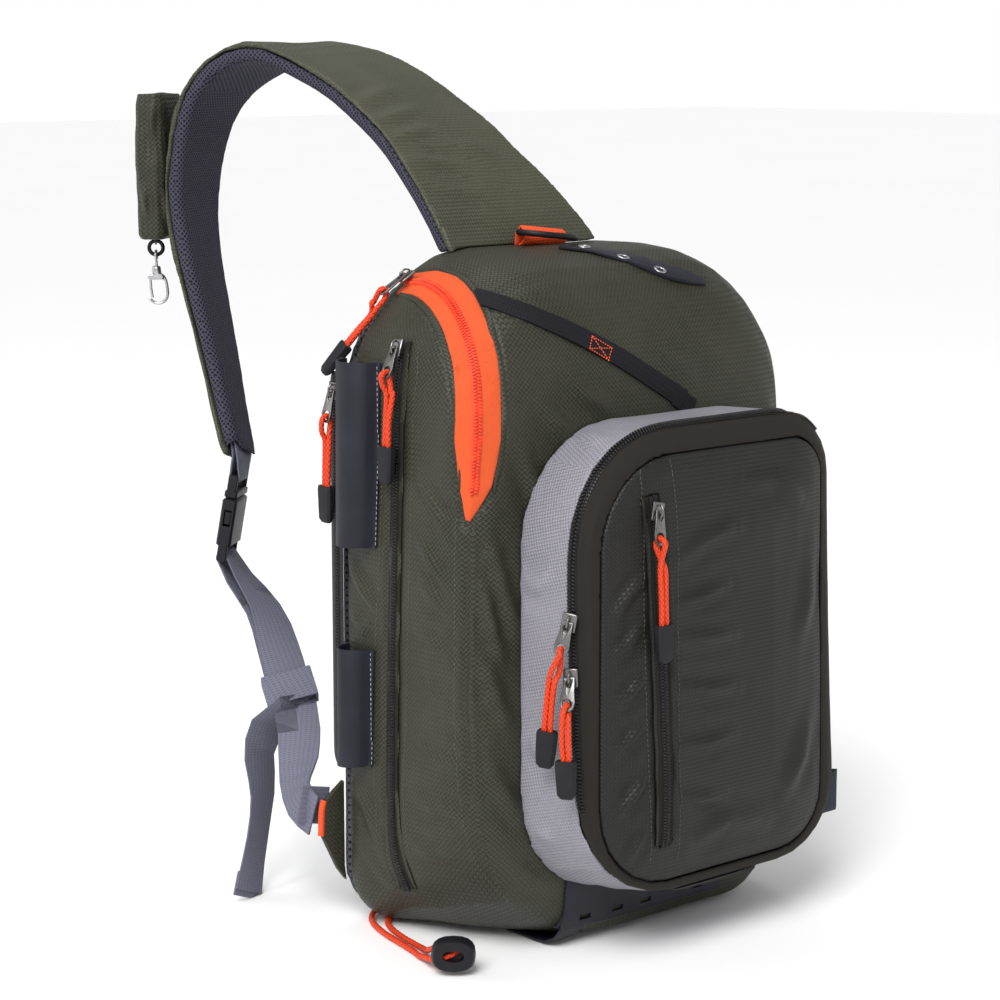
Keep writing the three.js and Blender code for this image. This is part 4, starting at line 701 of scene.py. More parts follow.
def nearest(tree: BVHTree, point: Sequence[float]) -> tuple[np.ndarray, np.ndarray]:
    """The nearest point of a surface and the outward normal there."""
    hit, normal, _, _ = tree.find_nearest(Vector(point))
    return np.array(hit), np.array(normal)


def set_points(piece: bpy.types.Object, points: np.ndarray) -> None:
    """Moves a piece's vertices."""
    piece.data.vertices.foreach_set("co", np.asarray(points, dtype=np.float32).ravel())
    piece.data.update()


def modify(piece: bpy.types.Object, kind: str, **settings: object) -> None:
    """Adds a modifier and applies it.

    Args:
        piece: the mesh piece.
        kind: the modifier's type.
        settings: its settings.
    """
    pick(piece)
    modifier = piece.modifiers.new(kind.lower(), kind)
    for key, value in settings.items():
        setattr(modifier, key, value)
    bpy.ops.object.modifier_apply(modifier=modifier.name)


def round_edges(piece: bpy.types.Object, width: float, segments: int, angle: float) -> None:
    """Rounds a piece's sharp edges.

    Args:
        piece: the mesh piece.
        width: how far the rounding reaches from an edge.
        segments: faces across it.
        angle: edges sharper than this many degrees are rounded.
    """
    modify(piece, "BEVEL", width=width, segments=segments, limit_method="ANGLE", angle_limit=math.radians(angle))


def box_uv(piece: bpy.types.Object) -> None:
    """Gives a piece a UV map in metres, laid from the axis that each face looks along."""
    mesh = piece.data
    layer = mesh.uv_layers.active or mesh.uv_layers.new(name="UVMap")
    loops = corner_vertices(mesh)
    normals = np.zeros(len(mesh.polygons) * 3)
    mesh.polygons.foreach_get("normal", normals)
    totals = np.zeros(len(mesh.polygons), dtype=np.int32)
    mesh.polygons.foreach_get("loop_total", totals)
    axis = np.repeat(np.abs(normals.reshape(-1, 3)).argmax(1), totals)
    co = get_points(piece)[loops]
    flat = np.where((axis == 1)[:, None], co[:, [0, 2]], co[:, [0, 1]])
    uv = np.where((axis == 0)[:, None], co[:, [1, 2]], flat)
    layer.data.foreach_set("uv", uv.astype(np.float32).ravel())


def finish_piece(
    piece: bpy.types.Object,
    name: str,
    material: bpy.types.Material,
    replaces: Sequence[str] = (),
    body: Body = Body.BAG,
    smooth: Optional[float] = 40.0,
) -> bpy.types.Object:
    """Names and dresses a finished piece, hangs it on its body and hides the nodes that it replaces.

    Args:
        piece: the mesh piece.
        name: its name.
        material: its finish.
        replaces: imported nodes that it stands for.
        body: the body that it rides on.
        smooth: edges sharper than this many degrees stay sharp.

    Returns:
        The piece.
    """
    pick(piece)
    bpy.ops.object.transform_apply(location=True, rotation=True, scale=True)
    piece.name = name
    piece.data.name = name
    piece.data.materials.clear()
    piece.data.materials.append(material)
    if smooth is not None:
        bpy.ops.object.shade_smooth_by_angle(angle=math.radians(smooth))
    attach(piece, body.value)
    if replaces:
        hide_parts(*replaces)
    LOG.info("%s: %d faces", name, len(piece.data.polygons))
    return piece


def copy_of(node: str) -> bpy.types.Object:
    """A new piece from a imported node, with its loose triangles merged into quads."""
    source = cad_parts[node]
    piece = linked(node + "_look", source.data.copy())
    pick(piece)
    bpy.ops.object.mode_set(mode="EDIT")
    bpy.ops.mesh.select_all(action="SELECT")
    bpy.ops.mesh.remove_doubles(threshold=0.00002)
    bpy.ops.mesh.tris_convert_to_quads(face_threshold=math.radians(25), shape_threshold=math.radians(60))
    bpy.ops.object.mode_set(mode="OBJECT")
    return piece


def grid(name: str, cells_across: int, cells_along: int) -> bpy.types.Object:
    """A flat grid with its own UV map, whose vertices run across first."""
    clear_selection()
    bpy.ops.mesh.primitive_grid_add(
        x_subdivisions=cells_across, y_subdivisions=cells_along, size=1, location=(0, 0, 0), calc_uvs=True
    )
    piece = bpy.context.object
    piece.name = name
    return piece


def scale_uv(piece: bpy.types.Object, width: float, length: float) -> None:
    """Stretches a grid's UV map to metres."""
    layer = piece.data.uv_layers.active.data
    uv = np.zeros(len(layer) * 2)
    layer.foreach_get("uv", uv)
    uv = uv.reshape(-1, 2) * np.array([width, length])
    layer.foreach_set("uv", uv.astype(np.float32).ravel())


def strip(ribbon: Ribbon, thickness: float, cells: int = 6, crown: float = 0.0) -> bpy.types.Object:
    """A strip of cloth or webbing along a ribbon.

    Args:
        ribbon: the line, directions and half widths.
        thickness: the strip's thickness.
        cells: cells across it.
        crown: how far its middle stands higher than its edges.

    Returns:
        The new piece, with rounded edges.
    """
    steps = len(ribbon.at)
    piece = grid("strip", cells, steps - 1)
    share = np.linspace(-1, 1, cells + 1)
    points = (
        ribbon.at[:, None, :]
        + ribbon.across[:, None, :] * (share[None, :, None] * ribbon.half[:, None, None])
        + ribbon.out[:, None, :] * (crown * (1 - share**2))[None, :, None]
    )
    set_points(piece, points.reshape(-1, 3))
    scale_uv(piece, float(2 * ribbon.half.mean()), ribbon.length)
    modify(piece, "SOLIDIFY", thickness=thickness, offset=0.0, use_even_offset=False)
    round_edges(piece, thickness * 0.28, 2, 50)
    return piece


def rod(
    line: np.ndarray, radius: float, sides: int, braid: float = 0.0, pitch: float = 3.4 * MM
) -> bpy.types.Object:
    """A round rod or a braided cord along a line.

    Args:
        line: its points.
        radius: its radius.
        sides: faces round it.
        braid: how high the crossing strands stand.
        pitch: length of one crossing.

    Returns:
        The new piece, closed at its ends.
    """
    steps = len(line)
    along = unit(np.gradient(line, axis=0))
    side = np.zeros_like(line)
    start = np.array([0.0, 0.0, 1.0]) if abs(along[0][2]) < 0.9 else np.array([1.0, 0.0, 0.0])
    side[0] = unit(start - along[0] * (start @ along[0]))
    for k in range(1, steps):
        side[k] = unit(side[k - 1] - along[k] * (side[k - 1] @ along[k]))
    up = np.cross(along, side)
    piece = grid("rod", sides, steps - 1)
    turn = np.linspace(0, 2 * np.pi, sides + 1)
    far = distances_along(line)
    phase = 2 * np.pi * far[:, None] / pitch
    right = np.sin(2 * turn[None, :] + phase / 2)
    left = np.sin(2 * turn[None, :] - phase / 2)
    over = right * left > 0
    height = np.where(over, np.abs(right), np.abs(left))
    reach = radius - braid + braid * height
    points = line[:, None, :] + reach[:, :, None] * (
        side[:, None, :] * np.cos(turn)[None, :, None] + up[:, None, :] * np.sin(turn)[None, :, None]
    )
    set_points(piece, points.reshape(-1, 3))
    scale_uv(piece, 2 * np.pi * radius, float(far[-1]))
    pick(piece)
    bpy.ops.object.mode_set(mode="EDIT")
    bpy.ops.mesh.select_all(action="SELECT")
    bpy.ops.mesh.remove_doubles(threshold=0.000004)
    bpy.ops.mesh.select_all(action="DESELECT")
    bpy.ops.mesh.select_mode(type="EDGE")
    bpy.ops.mesh.select_non_manifold(extend=False, use_wire=False, use_multi_face=False, use_verts=False)
    bpy.ops.mesh.fill()
    bpy.ops.mesh.select_all(action="SELECT")
    bpy.ops.mesh.normals_make_consistent(inside=False)
    bpy.ops.object.mode_set(mode="OBJECT")
    return piece


def scatter(shape: bpy.types.Object, places: Sequence[Matrix], name: str) -> bpy.types.Object:
    """Copies a small shape to many places and joins the copies.

    Args:
        shape: the shape at the origin, which is used up.
        places: where each copy goes.
        name: the joined piece's name.

    Returns:
        One mesh of all the copies.
    """
    points = get_points(shape)
    faces = [tuple(p.vertices) for p in shape.data.polygons]
    spots = np.array([np.array(m) for m in places])
    moved = np.einsum("kij,nj->kni", spots[:, :3, :3], points) + spots[:, None, :3, 3]
    count = len(points)
    every = [tuple(v + k * count for v in face) for k in range(len(places)) for face in faces]
    mesh = bpy.data.meshes.new(name)
    mesh.from_pydata(moved.reshape(-1, 3).tolist(), [], every)
    mesh.update()
    piece = linked(name, mesh)
    bpy.data.objects.remove(shape)
    return piece


def bead(length: float, width: float, height: float, segments: int = 8, rings: int = 5) -> bpy.types.Object:
    """A small rounded bead at the origin, long along Y."""
    clear_selection()
    bpy.ops.mesh.primitive_uv_sphere_add(segments=segments, ring_count=rings, radius=0.5, location=(0, 0, 0))
    piece = bpy.context.object
    piece.scale = (width, length, height)
    bpy.ops.object.transform_apply(location=False, rotation=False, scale=True)
    return piece


def place(at: np.ndarray, across: np.ndarray, along: np.ndarray, out: np.ndarray, turn: float = 0.0) -> Matrix:
    """A placement whose X, Y and Z are the given directions, turned about Z."""
    basis = Matrix(np.array([across, along, out]).T.tolist()).to_4x4()
    return Matrix.Translation(Vector(at)) @ basis @ Matrix.Rotation(turn, 4, "Z")


@dataclass
class Fold:
    """A ridge or a valley pressed into cloth along a line, in millimetres."""

    line: Sequence[tuple[float, float, float]]
    width: float
    height: float

    def lift(self, points: np.ndarray) -> np.ndarray:
        """How far each point moves out, in metres."""
        spots = np.array(self.line) * MM
        best = np.full(len(points), np.inf)
        share = np.zeros(len(points))
        for k, (a, b) in enumerate(zip(spots[:-1], spots[1:])):
            span = b - a
            t = np.clip(((points - a) @ span) / (span @ span), 0, 1)
            far = np.linalg.norm(points - (a + t[:, None] * span), axis=1)
            nearer = far < best
            best = np.where(nearer, far, best)
            share = np.where(nearer, (k + t) / (len(spots) - 1), share)
        taper = np.sin(np.pi * np.clip(share, 0.04, 0.96)) ** 0.7
        x = best / (self.width * MM)
        return self.height * MM * taper * (np.exp(-(x**2)) - 0.35 * np.exp(-((x - 1.9) ** 2)))


def deep_folds(rows: Sequence[tuple[Sequence[tuple[float, float, float]], float, float]]) -> list[Fold]:
    """Folds from rows of a line, a width and a height, narrower and deeper than the rows say."""
    return [Fold(line, width * FOLD_NARROWING, height * FOLD_DEEPENING) for line, width, height in rows]


def press(piece: bpy.types.Object, folds: Sequence[Fold]) -> None:
    """Presses folds into a piece along its normals."""
    points = get_points(piece)
    lift = sum(fold.lift(points) for fold in folds)
    set_points(piece, points + get_normals(piece) * np.asarray(lift)[:, None])


def crumple(piece: bpy.types.Object, size: float, height: float, seed: float = 0.0) -> None:
    """Gives cloth a slight unevenness, worked out from sums of waves.

    Args:
        piece: the mesh piece.
        size: length of the waves in metres.
        height: how far they move the cloth.
        seed: shifts the waves.
    """
    points = get_points(piece)
    lift = np.zeros(len(points))
    for k in range(7):
        turn = seed + 2.399 * k
        way = unit(np.array([math.cos(turn), math.sin(turn * 1.7), math.sin(turn)]))
        lift += np.sin((points @ way) * (2 * np.pi / (size * (0.6 + 0.16 * k))) + 5.1 * k + seed)
    set_points(piece, points + get_normals(piece) * (lift * height / 4)[:, None])


def stitch_line(
    line: np.ndarray,
    surface: Solid | BVHTree,
    name: str,
    material: bpy.types.Material,
    spacing: float = 3.2 * MM,
    thread: float = 0.5 * MM,
) -> bpy.types.Object:
    """Sews a row of stitches along a line on a surface.

    Args:
        line: points near the surface.
        surface: what it is sewn on.
        name: the piece's name.
        material: the thread's finish.
        spacing: distance from one stitch to the next.
        thread: the thread's width.

    Returns:
        The stitches as one piece.
    """
    tree = surface.tree if isinstance(surface, Solid) else surface
    spots = smooth_line(line, spacing)
    along = unit(np.gradient(spots, axis=0))
    places = []
    for at, way in zip(spots, along):
        hit, out = nearest(tree, at)
        way = unit(way - out * (way @ out))
        places.append(place(hit + out * thread * 0.22, np.cross(way, out), way, out))
    shape = bead(spacing * 0.72, thread, thread * 0.8, 6, 4)
    return finish_piece(scatter(shape, places, name), name, material, smooth=60)


def tree_of(pieces: Sequence[bpy.types.Object]) -> BVHTree:
    """A search tree over finished pieces."""
    points, faces, base = [], [], 0
    for piece in pieces:
        points.extend(map(tuple, get_points(piece)))
        faces.extend(tuple(v + base for v in p.vertices) for p in piece.data.polygons)
        base = len(points)
    return BVHTree.FromPolygons(points, faces)


# The bag's sub-assemblies


@dataclass
class Shell:
    """The padded body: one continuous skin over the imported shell, pressed with its folds."""

    finishes: Finishes
    cell: float = 2.1 * MM
    core: float = 45 * MM
    recess: float = 1.7 * MM
    run_up: float = 30 * MM
    pit: float = 9 * MM
    fills: int = 40
    skin: bpy.types.Object = field(init=False)

    def build(self) -> None:
        """Builds the skin."""
        solid = Solid(["body_shell", "main_zip_tape", "side_zip_tape"])
        low, high = solid.points.min(0), solid.points.max(0)
        skin = self.gridded_box(low - 2 * MM, high + 2 * MM)
        inner_low, inner_high = low + self.core, high - self.core
        points = get_points(skin)
        goal = np.clip(points, inner_low, inner_high)
        way = unit(goal - points)
        start = points - way * self.run_up
        depth = np.full(len(points), self.run_up)
        for k, (at, ray) in enumerate(zip(start, way)):
            far = solid.tree.ray_cast(Vector(at), Vector(ray))[3]
            depth[k] = far if far is not None else np.inf
        depth = self.close_pits(skin, depth)
        set_points(skin, start + way * depth[:, None])
        modify(skin, "SMOOTH", factor=0.5, iterations=9)
        self.sink_under_zips(skin)
        press(skin, self.folds())
        crumple(skin, 90 * MM, 0.55 * MM, 1.0)
        crumple(skin, 34 * MM, 0.16 * MM, 4.0)
        box_uv(skin)
        self.skin = finish_piece(skin, "body_skin", self.finishes.olive, ["body_shell"], smooth=70)

    def close_pits(self, skin: bpy.types.Object, depth: np.ndarray) -> np.ndarray:
        """Closes the narrow gaps beside the zips, where a ray goes deep into the bag.

        Args:
            skin: the mesh whose vertices were cast.
            depth: how far each ray went.

        Returns:
            The depths, with each pit's taken from its neighbours.
        """
        ends = np.zeros(len(skin.data.edges) * 2, dtype=np.int32)
        skin.data.edges.foreach_get("vertices", ends)
        a, b = ends.reshape(-1, 2).T
        depth = np.minimum(depth, 0.2)
        opened = depth.copy()
        for least in (np.minimum, np.minimum, np.maximum, np.maximum):
            past = opened.copy()
            least.at(opened, a, past[b])
            least.at(opened, b, past[a])
        good = depth < opened + self.pit
        for _ in range(self.fills):
            total, count = np.zeros(len(depth)), np.zeros(len(depth))
            np.add.at(total, a, np.where(good[b], depth[b], 0.0))
            np.add.at(count, a, good[b])
            np.add.at(total, b, np.where(good[a], depth[a], 0.0))
            np.add.at(count, b, good[a])
            fresh = ~good & (count > 0)
            depth[fresh] = total[fresh] / count[fresh]
            good |= fresh
        return depth

    def gridded_box(self, low: np.ndarray, high: np.ndarray) -> bpy.types.Object:
        """A box whose faces are cut into even cells.

        Args:
            low: its lowest corner.
            high: its highest corner.

        Returns:
            The box.
        """
        clear_selection()
        bpy.ops.mesh.primitive_cube_add(size=1, location=tuple((low + high) / 2))
        box = bpy.context.object
        box.scale = tuple(high - low)
        bpy.ops.object.transform_apply(location=True, rotation=False, scale=True)
        bpy.ops.object.mode_set(mode="EDIT")
        bpy.ops.mesh.select_mode(type="EDGE")
        for axis in range(3):
            mesh = bmesh.from_edit_mesh(box.data)
            for edge in mesh.edges:
                span = edge.verts[1].co - edge.verts[0].co
                edge.select_set(abs(span[axis]) > 0.9 * span.length)
            mesh.select_flush_mode()
            bmesh.update_edit_mesh(box.data)
            cuts = int((high[axis] - low[axis]) / self.cell)
            bpy.ops.mesh.subdivide(number_cuts=cuts, quadcorner="INNERVERT")
            bpy.ops.mesh.select_all(action="DESELECT")
        bpy.ops.object.mode_set(mode="OBJECT")
        return box

    def sink_under_zips(self, skin: bpy.types.Object) -> None:
        """Sinks the skin under the zip tapes."""
        points = get_points(skin)
        normals = get_normals(skin)
        lift = np.zeros(len(points))
        for node in ("main_zip_tape", "side_zip_tape"):
            tape = Solid([node])
            low, high = tape.points.min(0) - 5 * MM, tape.points.max(0) + 5 * MM
            for k in np.where(np.all((points > low) & (points < high), axis=1))[0]:
                far = tape.tree.find_nearest(Vector(points[k]))[3]
                fade = min(1.0, max(0.0, (4 * MM - far) / (2.4 * MM)))
                lift[k] = -self.recess * fade * fade * (3 - 2 * fade)
        set_points(skin, points + normals * lift[:, None])

    def folds(self) -> list[Fold]:
        """The ridges and valleys that show on the photo's sides."""
        rows = [
            # front-left seam, then creases that run down and out from the main zip and the strap
            ([(-129, -59, 278), (-129, -58, 231), (-130, -57, 170), (-127, -59, 115), (-118, -58, 76)], 2.6, -0.7),
            ([(-134, -20, 300), (-132, -36, 280), (-128, -50, 262)], 5.0, 1.6),
            ([(-134, -22, 262), (-133, -38, 244), (-129, -52, 232)], 4.6, 1.4),
            ([(-134, -24, 236), (-133, -38, 226), (-130, -50, 222)], 4.2, 1.2),
            ([(-134, -20, 206), (-133, -36, 200), (-130, -50, 196)], 4.6, 1.2),
            ([(-134, -16, 172), (-133, -32, 170), (-130, -48, 164)], 4.4, 1.1),
            ([(-134, -14, 140), (-133, -30, 132), (-129, -48, 130)], 5.0, 1.2),
            ([(-134, -12, 104), (-132, -30, 100), (-127, -46, 104)], 5.0, 1.1),
            ([(-133, -10, 70), (-129, -28, 66), (-120, -44, 70)], 5.4, 1.1),
            ([(-118, -66, 268), (-108, -70, 232), (-98, -71, 208)], 5.6, 1.4),
            ([(-122, -62, 250), (-116, -67, 214), (-108, -70, 186)], 5.0, 1.2),
            ([(-122, -62, 200), (-112, -69, 168), (-104, -71, 150)], 5.6, 1.1),
            ([(-118, -64, 130), (-104, -70, 104), (-92, -71, 92)], 6.0, 1.2),
            ([(-104, -68, 66), (-86, -71, 52), (-64, -71, 44)], 6.4, 1.2),
            ([(-84, -62, 352), (-66, -68, 330), (-50, -71, 316)], 6.4, 1.5),
            ([(-66, -60, 368), (-44, -67, 346), (-22, -71, 334)], 6.0, 1.3),
            ([(-94, -66, 318), (-84, -70, 290), (-80, -71, 262)], 6.0, 1.2),
            ([(0, -56, 378), (22, -60, 366), (44, -64, 352)], 7.0, 1.3),
            ([(30, -40, 404), (58, -48, 388), (84, -56, 366)], 7.0, 1.4),
            ([(-20, -44, 398), (6, -50, 388), (30, -56, 376)], 6.4, 1.2),
            ([(90, -30, 392), (108, -42, 366), (120, -50, 336)], 7.4, 1.6),
            ([(134, -10, 330), (134, -30, 300), (132, -46, 276)], 8.0, 1.6),
            ([(134, 20, 280), (134, -6, 250), (133, -30, 236)], 8.0, 1.5),
            ([(134, 34, 200), (134, 4, 180), (133, -26, 176)], 8.0, 1.5),
            ([(134, 30, 130), (134, 0, 112), (132, -30, 110)], 8.0, 1.5),
            ([(132, 20, 70), (130, -10, 56), (124, -36, 58)], 8.0, 1.3),
            # back edge of the left side, beside the rod tubes and below them
            ([(-134, 50, 240), (-134, 34, 222), (-134, 22, 214)], 5.0, 1.2),
            ([(-134, 50, 208), (-134, 36, 200), (-134, 24, 204)], 4.4, 1.0),
            ([(-133, 48, 96), (-133, 34, 84), (-132, 24, 66)], 5.4, 1.4),
            ([(-131, 46, 62), (-128, 30, 50), (-124, 18, 36)], 5.4, 1.3),
        ]
        wrinkles = deep_folds(rows)
        for k in range(15):
            low = 88 + 14.6 * k
            sway = math.sin(2.1 * k)
            run = 13 + 5 * math.sin(1.3 * k + 1)
            back = [
                (-129, -56, low),
                (-133, -56 + run * 0.9, low + 5 + 3 * sway),
                (-134, -56 + run * 2, low + 7 * sway),
            ]
            front = [(-127, -61, low - 3), (-120, -66, low + 3 * sway), (-108, -70, low + 9 + 5 * sway)]
            wrinkles.append(Fold(back, 2.8 + sway * 0.6, -1.5 - 0.6 * sway))
            wrinkles.append(Fold(front, 3.0 - sway * 0.7, -1.2 + 0.6 * sway))
        return wrinkles

    def sew(self) -> None:
        """Sews the stitch lines beside the side zip and along the front-left seam."""
        tree = tree_of([self.skin])
        lines = {
            "side_placket_front_stitches": [
                (-133, -14, 378), (-134, -18, 358), (-135, -15, 328), (-135, -12, 249),
                (-135, -9, 199), (-135, -6, 149), (-134, -4, 104), (-130, -6, 66),
            ],
            "side_placket_back_stitches": [
                (-131, 15, 376), (-134, 14, 343), (-135, 18, 244), (-135, 23, 194), (-134, 26, 104),
                (-130, 23, 59),
            ],
            "front_seam_stitches": [
                (-131, -52, 278), (-131, -51, 231), (-131, -50, 170), (-129, -52, 115), (-120, -52, 76),
                (-106, -53, 54), (-83, -54, 34),
            ],
        }
        for name, line in lines.items():
            stitch_line(np.array(line) * MM, tree, name, self.finishes.olive_thread)


@dataclass
class Zip:
    """One zip: a smooth tape, two rows of coil beads and their core."""

    node: str
    tape: Optional[str]
    tape_finish: Optional[bpy.types.Material]
    coil_finish: bpy.types.Material
    tape_slot: str
    coil_slot: str
    pitch: float = 2.0 * MM
    bead_width: float = 2.9 * MM
    rise: float = 1.7 * MM
    base_half: float = 2.7 * MM

    def build(self, ground: BVHTree) -> None:
        """Builds the coil on the ground surface.

        Args:
            ground: the surface that the coil lies on.
        """
        at, along, across, out = self.route(ground, self.pitch)
        places = []
        for k in range(len(at)):
            for side in (-1, 1):
                spot = at[k] + across[k] * side * 1.25 * MM + out[k] * self.rise * 0.36
                if side > 0:
                    spot = spot + along[k] * self.pitch * 0.5
                places.append(place(spot, across[k], along[k], out[k], side * 0.3))
        shape = bead(self.pitch * 0.66, self.bead_width, self.rise, 8, 5)
        name = self.node.replace("_coil", "_teeth")
        piece = scatter(shape, places, name)
        finish_piece(piece, name, self.coil_finish, smooth=80)
        core = Ribbon(at - out * 0.1 * MM, along, across, out, np.full(len(at), self.base_half))
        base = strip(core, 0.7 * MM, 4)
        finish_piece(base, self.node + "_base", self.coil_finish, [self.node])

    def route(self, ground: BVHTree, step: float) -> tuple[np.ndarray, np.ndarray, np.ndarray, np.ndarray]:
        """The coil's line on the ground surface.

        Args:
            ground: the surface that the coil lies on.
            step: spacing of the line's points.

        Returns:
            The points, and the directions along, across and out of them.
        """
        line = Ribbon.of(self.node, COIL_WIDTH, 9 * MM, step, soften=4).at
        line = smooth_rows(line, int(18 * (1.75 * MM / step) ** 2) + 1)
        at, out = [], []
        for p in line:
            hit, normal, _, far = ground.find_nearest(Vector(p))
            at.append(np.array(hit) if far < 0.006 else p)
            out.append(np.array(normal))
        out = smooth_rows(unit(np.array(out)), 12)
        at = smooth_rows(np.array(at), 12) + out * 0.35 * MM
        along = unit(np.gradient(at, axis=0))
        out = unit(out - along * np.sum(out * along, axis=1, keepdims=True))
        return at, along, np.cross(along, out), out

    def lips(self, ground: BVHTree, name: str, material: bpy.types.Material) -> None:
        """Lays the turned cloth edges over both sides of the tape.

        Args:
            ground: the cloth beside the tape.
            name: start of the pieces' names.
            material: the cloth's finish.
        """
        tape = Solid([self.tape])
        at, along, across, out = self.route(tape.tree, 3 * MM)
        for label, side in (("front", 1), ("back", -1)):
            reach = np.zeros(len(at))
            for k, spot in enumerate(at):
                span = tape.points - spot
                near = (np.abs(span @ along[k]) < 6 * MM) & (np.linalg.norm(span, axis=1) < 32 * MM)
                share = (span[near] @ across[k]) * side
                reach[k] = share.max() if len(share) else 0
            reach = smooth_rows(np.where(reach > 0, reach, np.median(reach)), 6)
            edge = smooth_rows(at + across * (side * (reach + 0.6 * MM))[:, None], 6)
            spots, ways = [], []
            for p in edge:
                hit, normal = nearest(ground, p)
                spots.append(hit)
                ways.append(normal)
            up = smooth_rows(unit(np.array(ways)), 6)
            line = smooth_rows(np.array(spots), 4) + up * 0.5 * MM
            way = unit(np.gradient(line, axis=0))
            up = unit(up - way * np.sum(up * way, axis=1, keepdims=True))
            ends = np.minimum(np.arange(len(line)), np.arange(len(line))[::-1]) * 3 * MM
            half = 2.4 * MM * np.minimum(1.0, 0.15 + ends / (18 * MM))
            ribbon = Ribbon(line, way, np.cross(way, up), up, half)
            piece = strip(ribbon, 1.0 * MM, 8, 0.7 * MM)
            finish_piece(piece, f"{name}_{label}", material, smooth=70)

    def lay_tape(self) -> None:
        """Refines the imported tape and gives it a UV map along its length."""
        if self.tape is None:
            return
        piece = copy_of(self.tape)
        modify(piece, "SUBSURF", levels=2, render_levels=2, subdivision_type="SIMPLE")
        modify(piece, "SMOOTH", factor=0.5, iterations=4)
        follow_uv(piece, Ribbon.of(self.node, COIL_WIDTH, 9 * MM, 4 * MM))
        finish_piece(piece, self.tape + "_cloth", self.tape_finish, [self.tape])


def smooth_rows(rows: np.ndarray, times: int) -> np.ndarray:
    """Averages each row with its neighbours, and keeps the ends."""
    for _ in range(times):
        rows = np.concatenate([rows[:1], (rows[:-2] + 2 * rows[1:-1] + rows[2:]) / 4, rows[-1:]])
    return rows


def follow_uv(piece: bpy.types.Object, ribbon: Ribbon) -> None:
    """Gives a piece a UV map in metres whose V runs along a line.

    Args:
        piece: the mesh piece.
        ribbon: the line, whose sides are taken from the piece's own surface.
    """
    mesh = piece.data
    points = get_points(piece)
    normals = get_normals(piece)
    far = ribbon.stations
    uv = np.zeros((len(points), 2))
    for k, p in enumerate(points):
        nearest = int(np.argmin(((ribbon.at - p) ** 2).sum(1)))
        way = ribbon.along[nearest]
        side = unit(np.cross(way, normals[k]))
        span = p - ribbon.at[nearest]
        uv[k] = (span @ side, far[nearest] + span @ way)
    layer = mesh.uv_layers.active or mesh.uv_layers.new(name="UVMap")
    loops = corner_vertices(mesh)
    layer.data.foreach_set("uv", uv[loops].astype(np.float32).ravel())


@dataclass
class Remade:
    """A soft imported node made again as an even, rounded mesh."""

    node: str
    name: str
    slot: str
    voxel: float = 1.25 * MM
    rounds: int = 6
    folds: Sequence[Fold] = ()
    wave: float = 0.25 * MM
    wave_size: float = 70 * MM

    def build(self, material: bpy.types.Material) -> bpy.types.Object:
        """Remeshes, rounds, folds and dresses the node.

        Args:
            material: its finish.

        Returns:
            The piece.
        """
        piece = copy_of(self.node)
        modify(piece, "REMESH", mode="VOXEL", voxel_size=self.voxel, adaptivity=0.0)
        modify(piece, "SMOOTH", factor=0.5, iterations=self.rounds)
        if self.folds:
            press(piece, self.folds)
        if self.wave:
            crumple(piece, self.wave_size, self.wave, 2.0)
        box_uv(piece)
        return finish_piece(piece, self.name, material, [self.node], smooth=60)


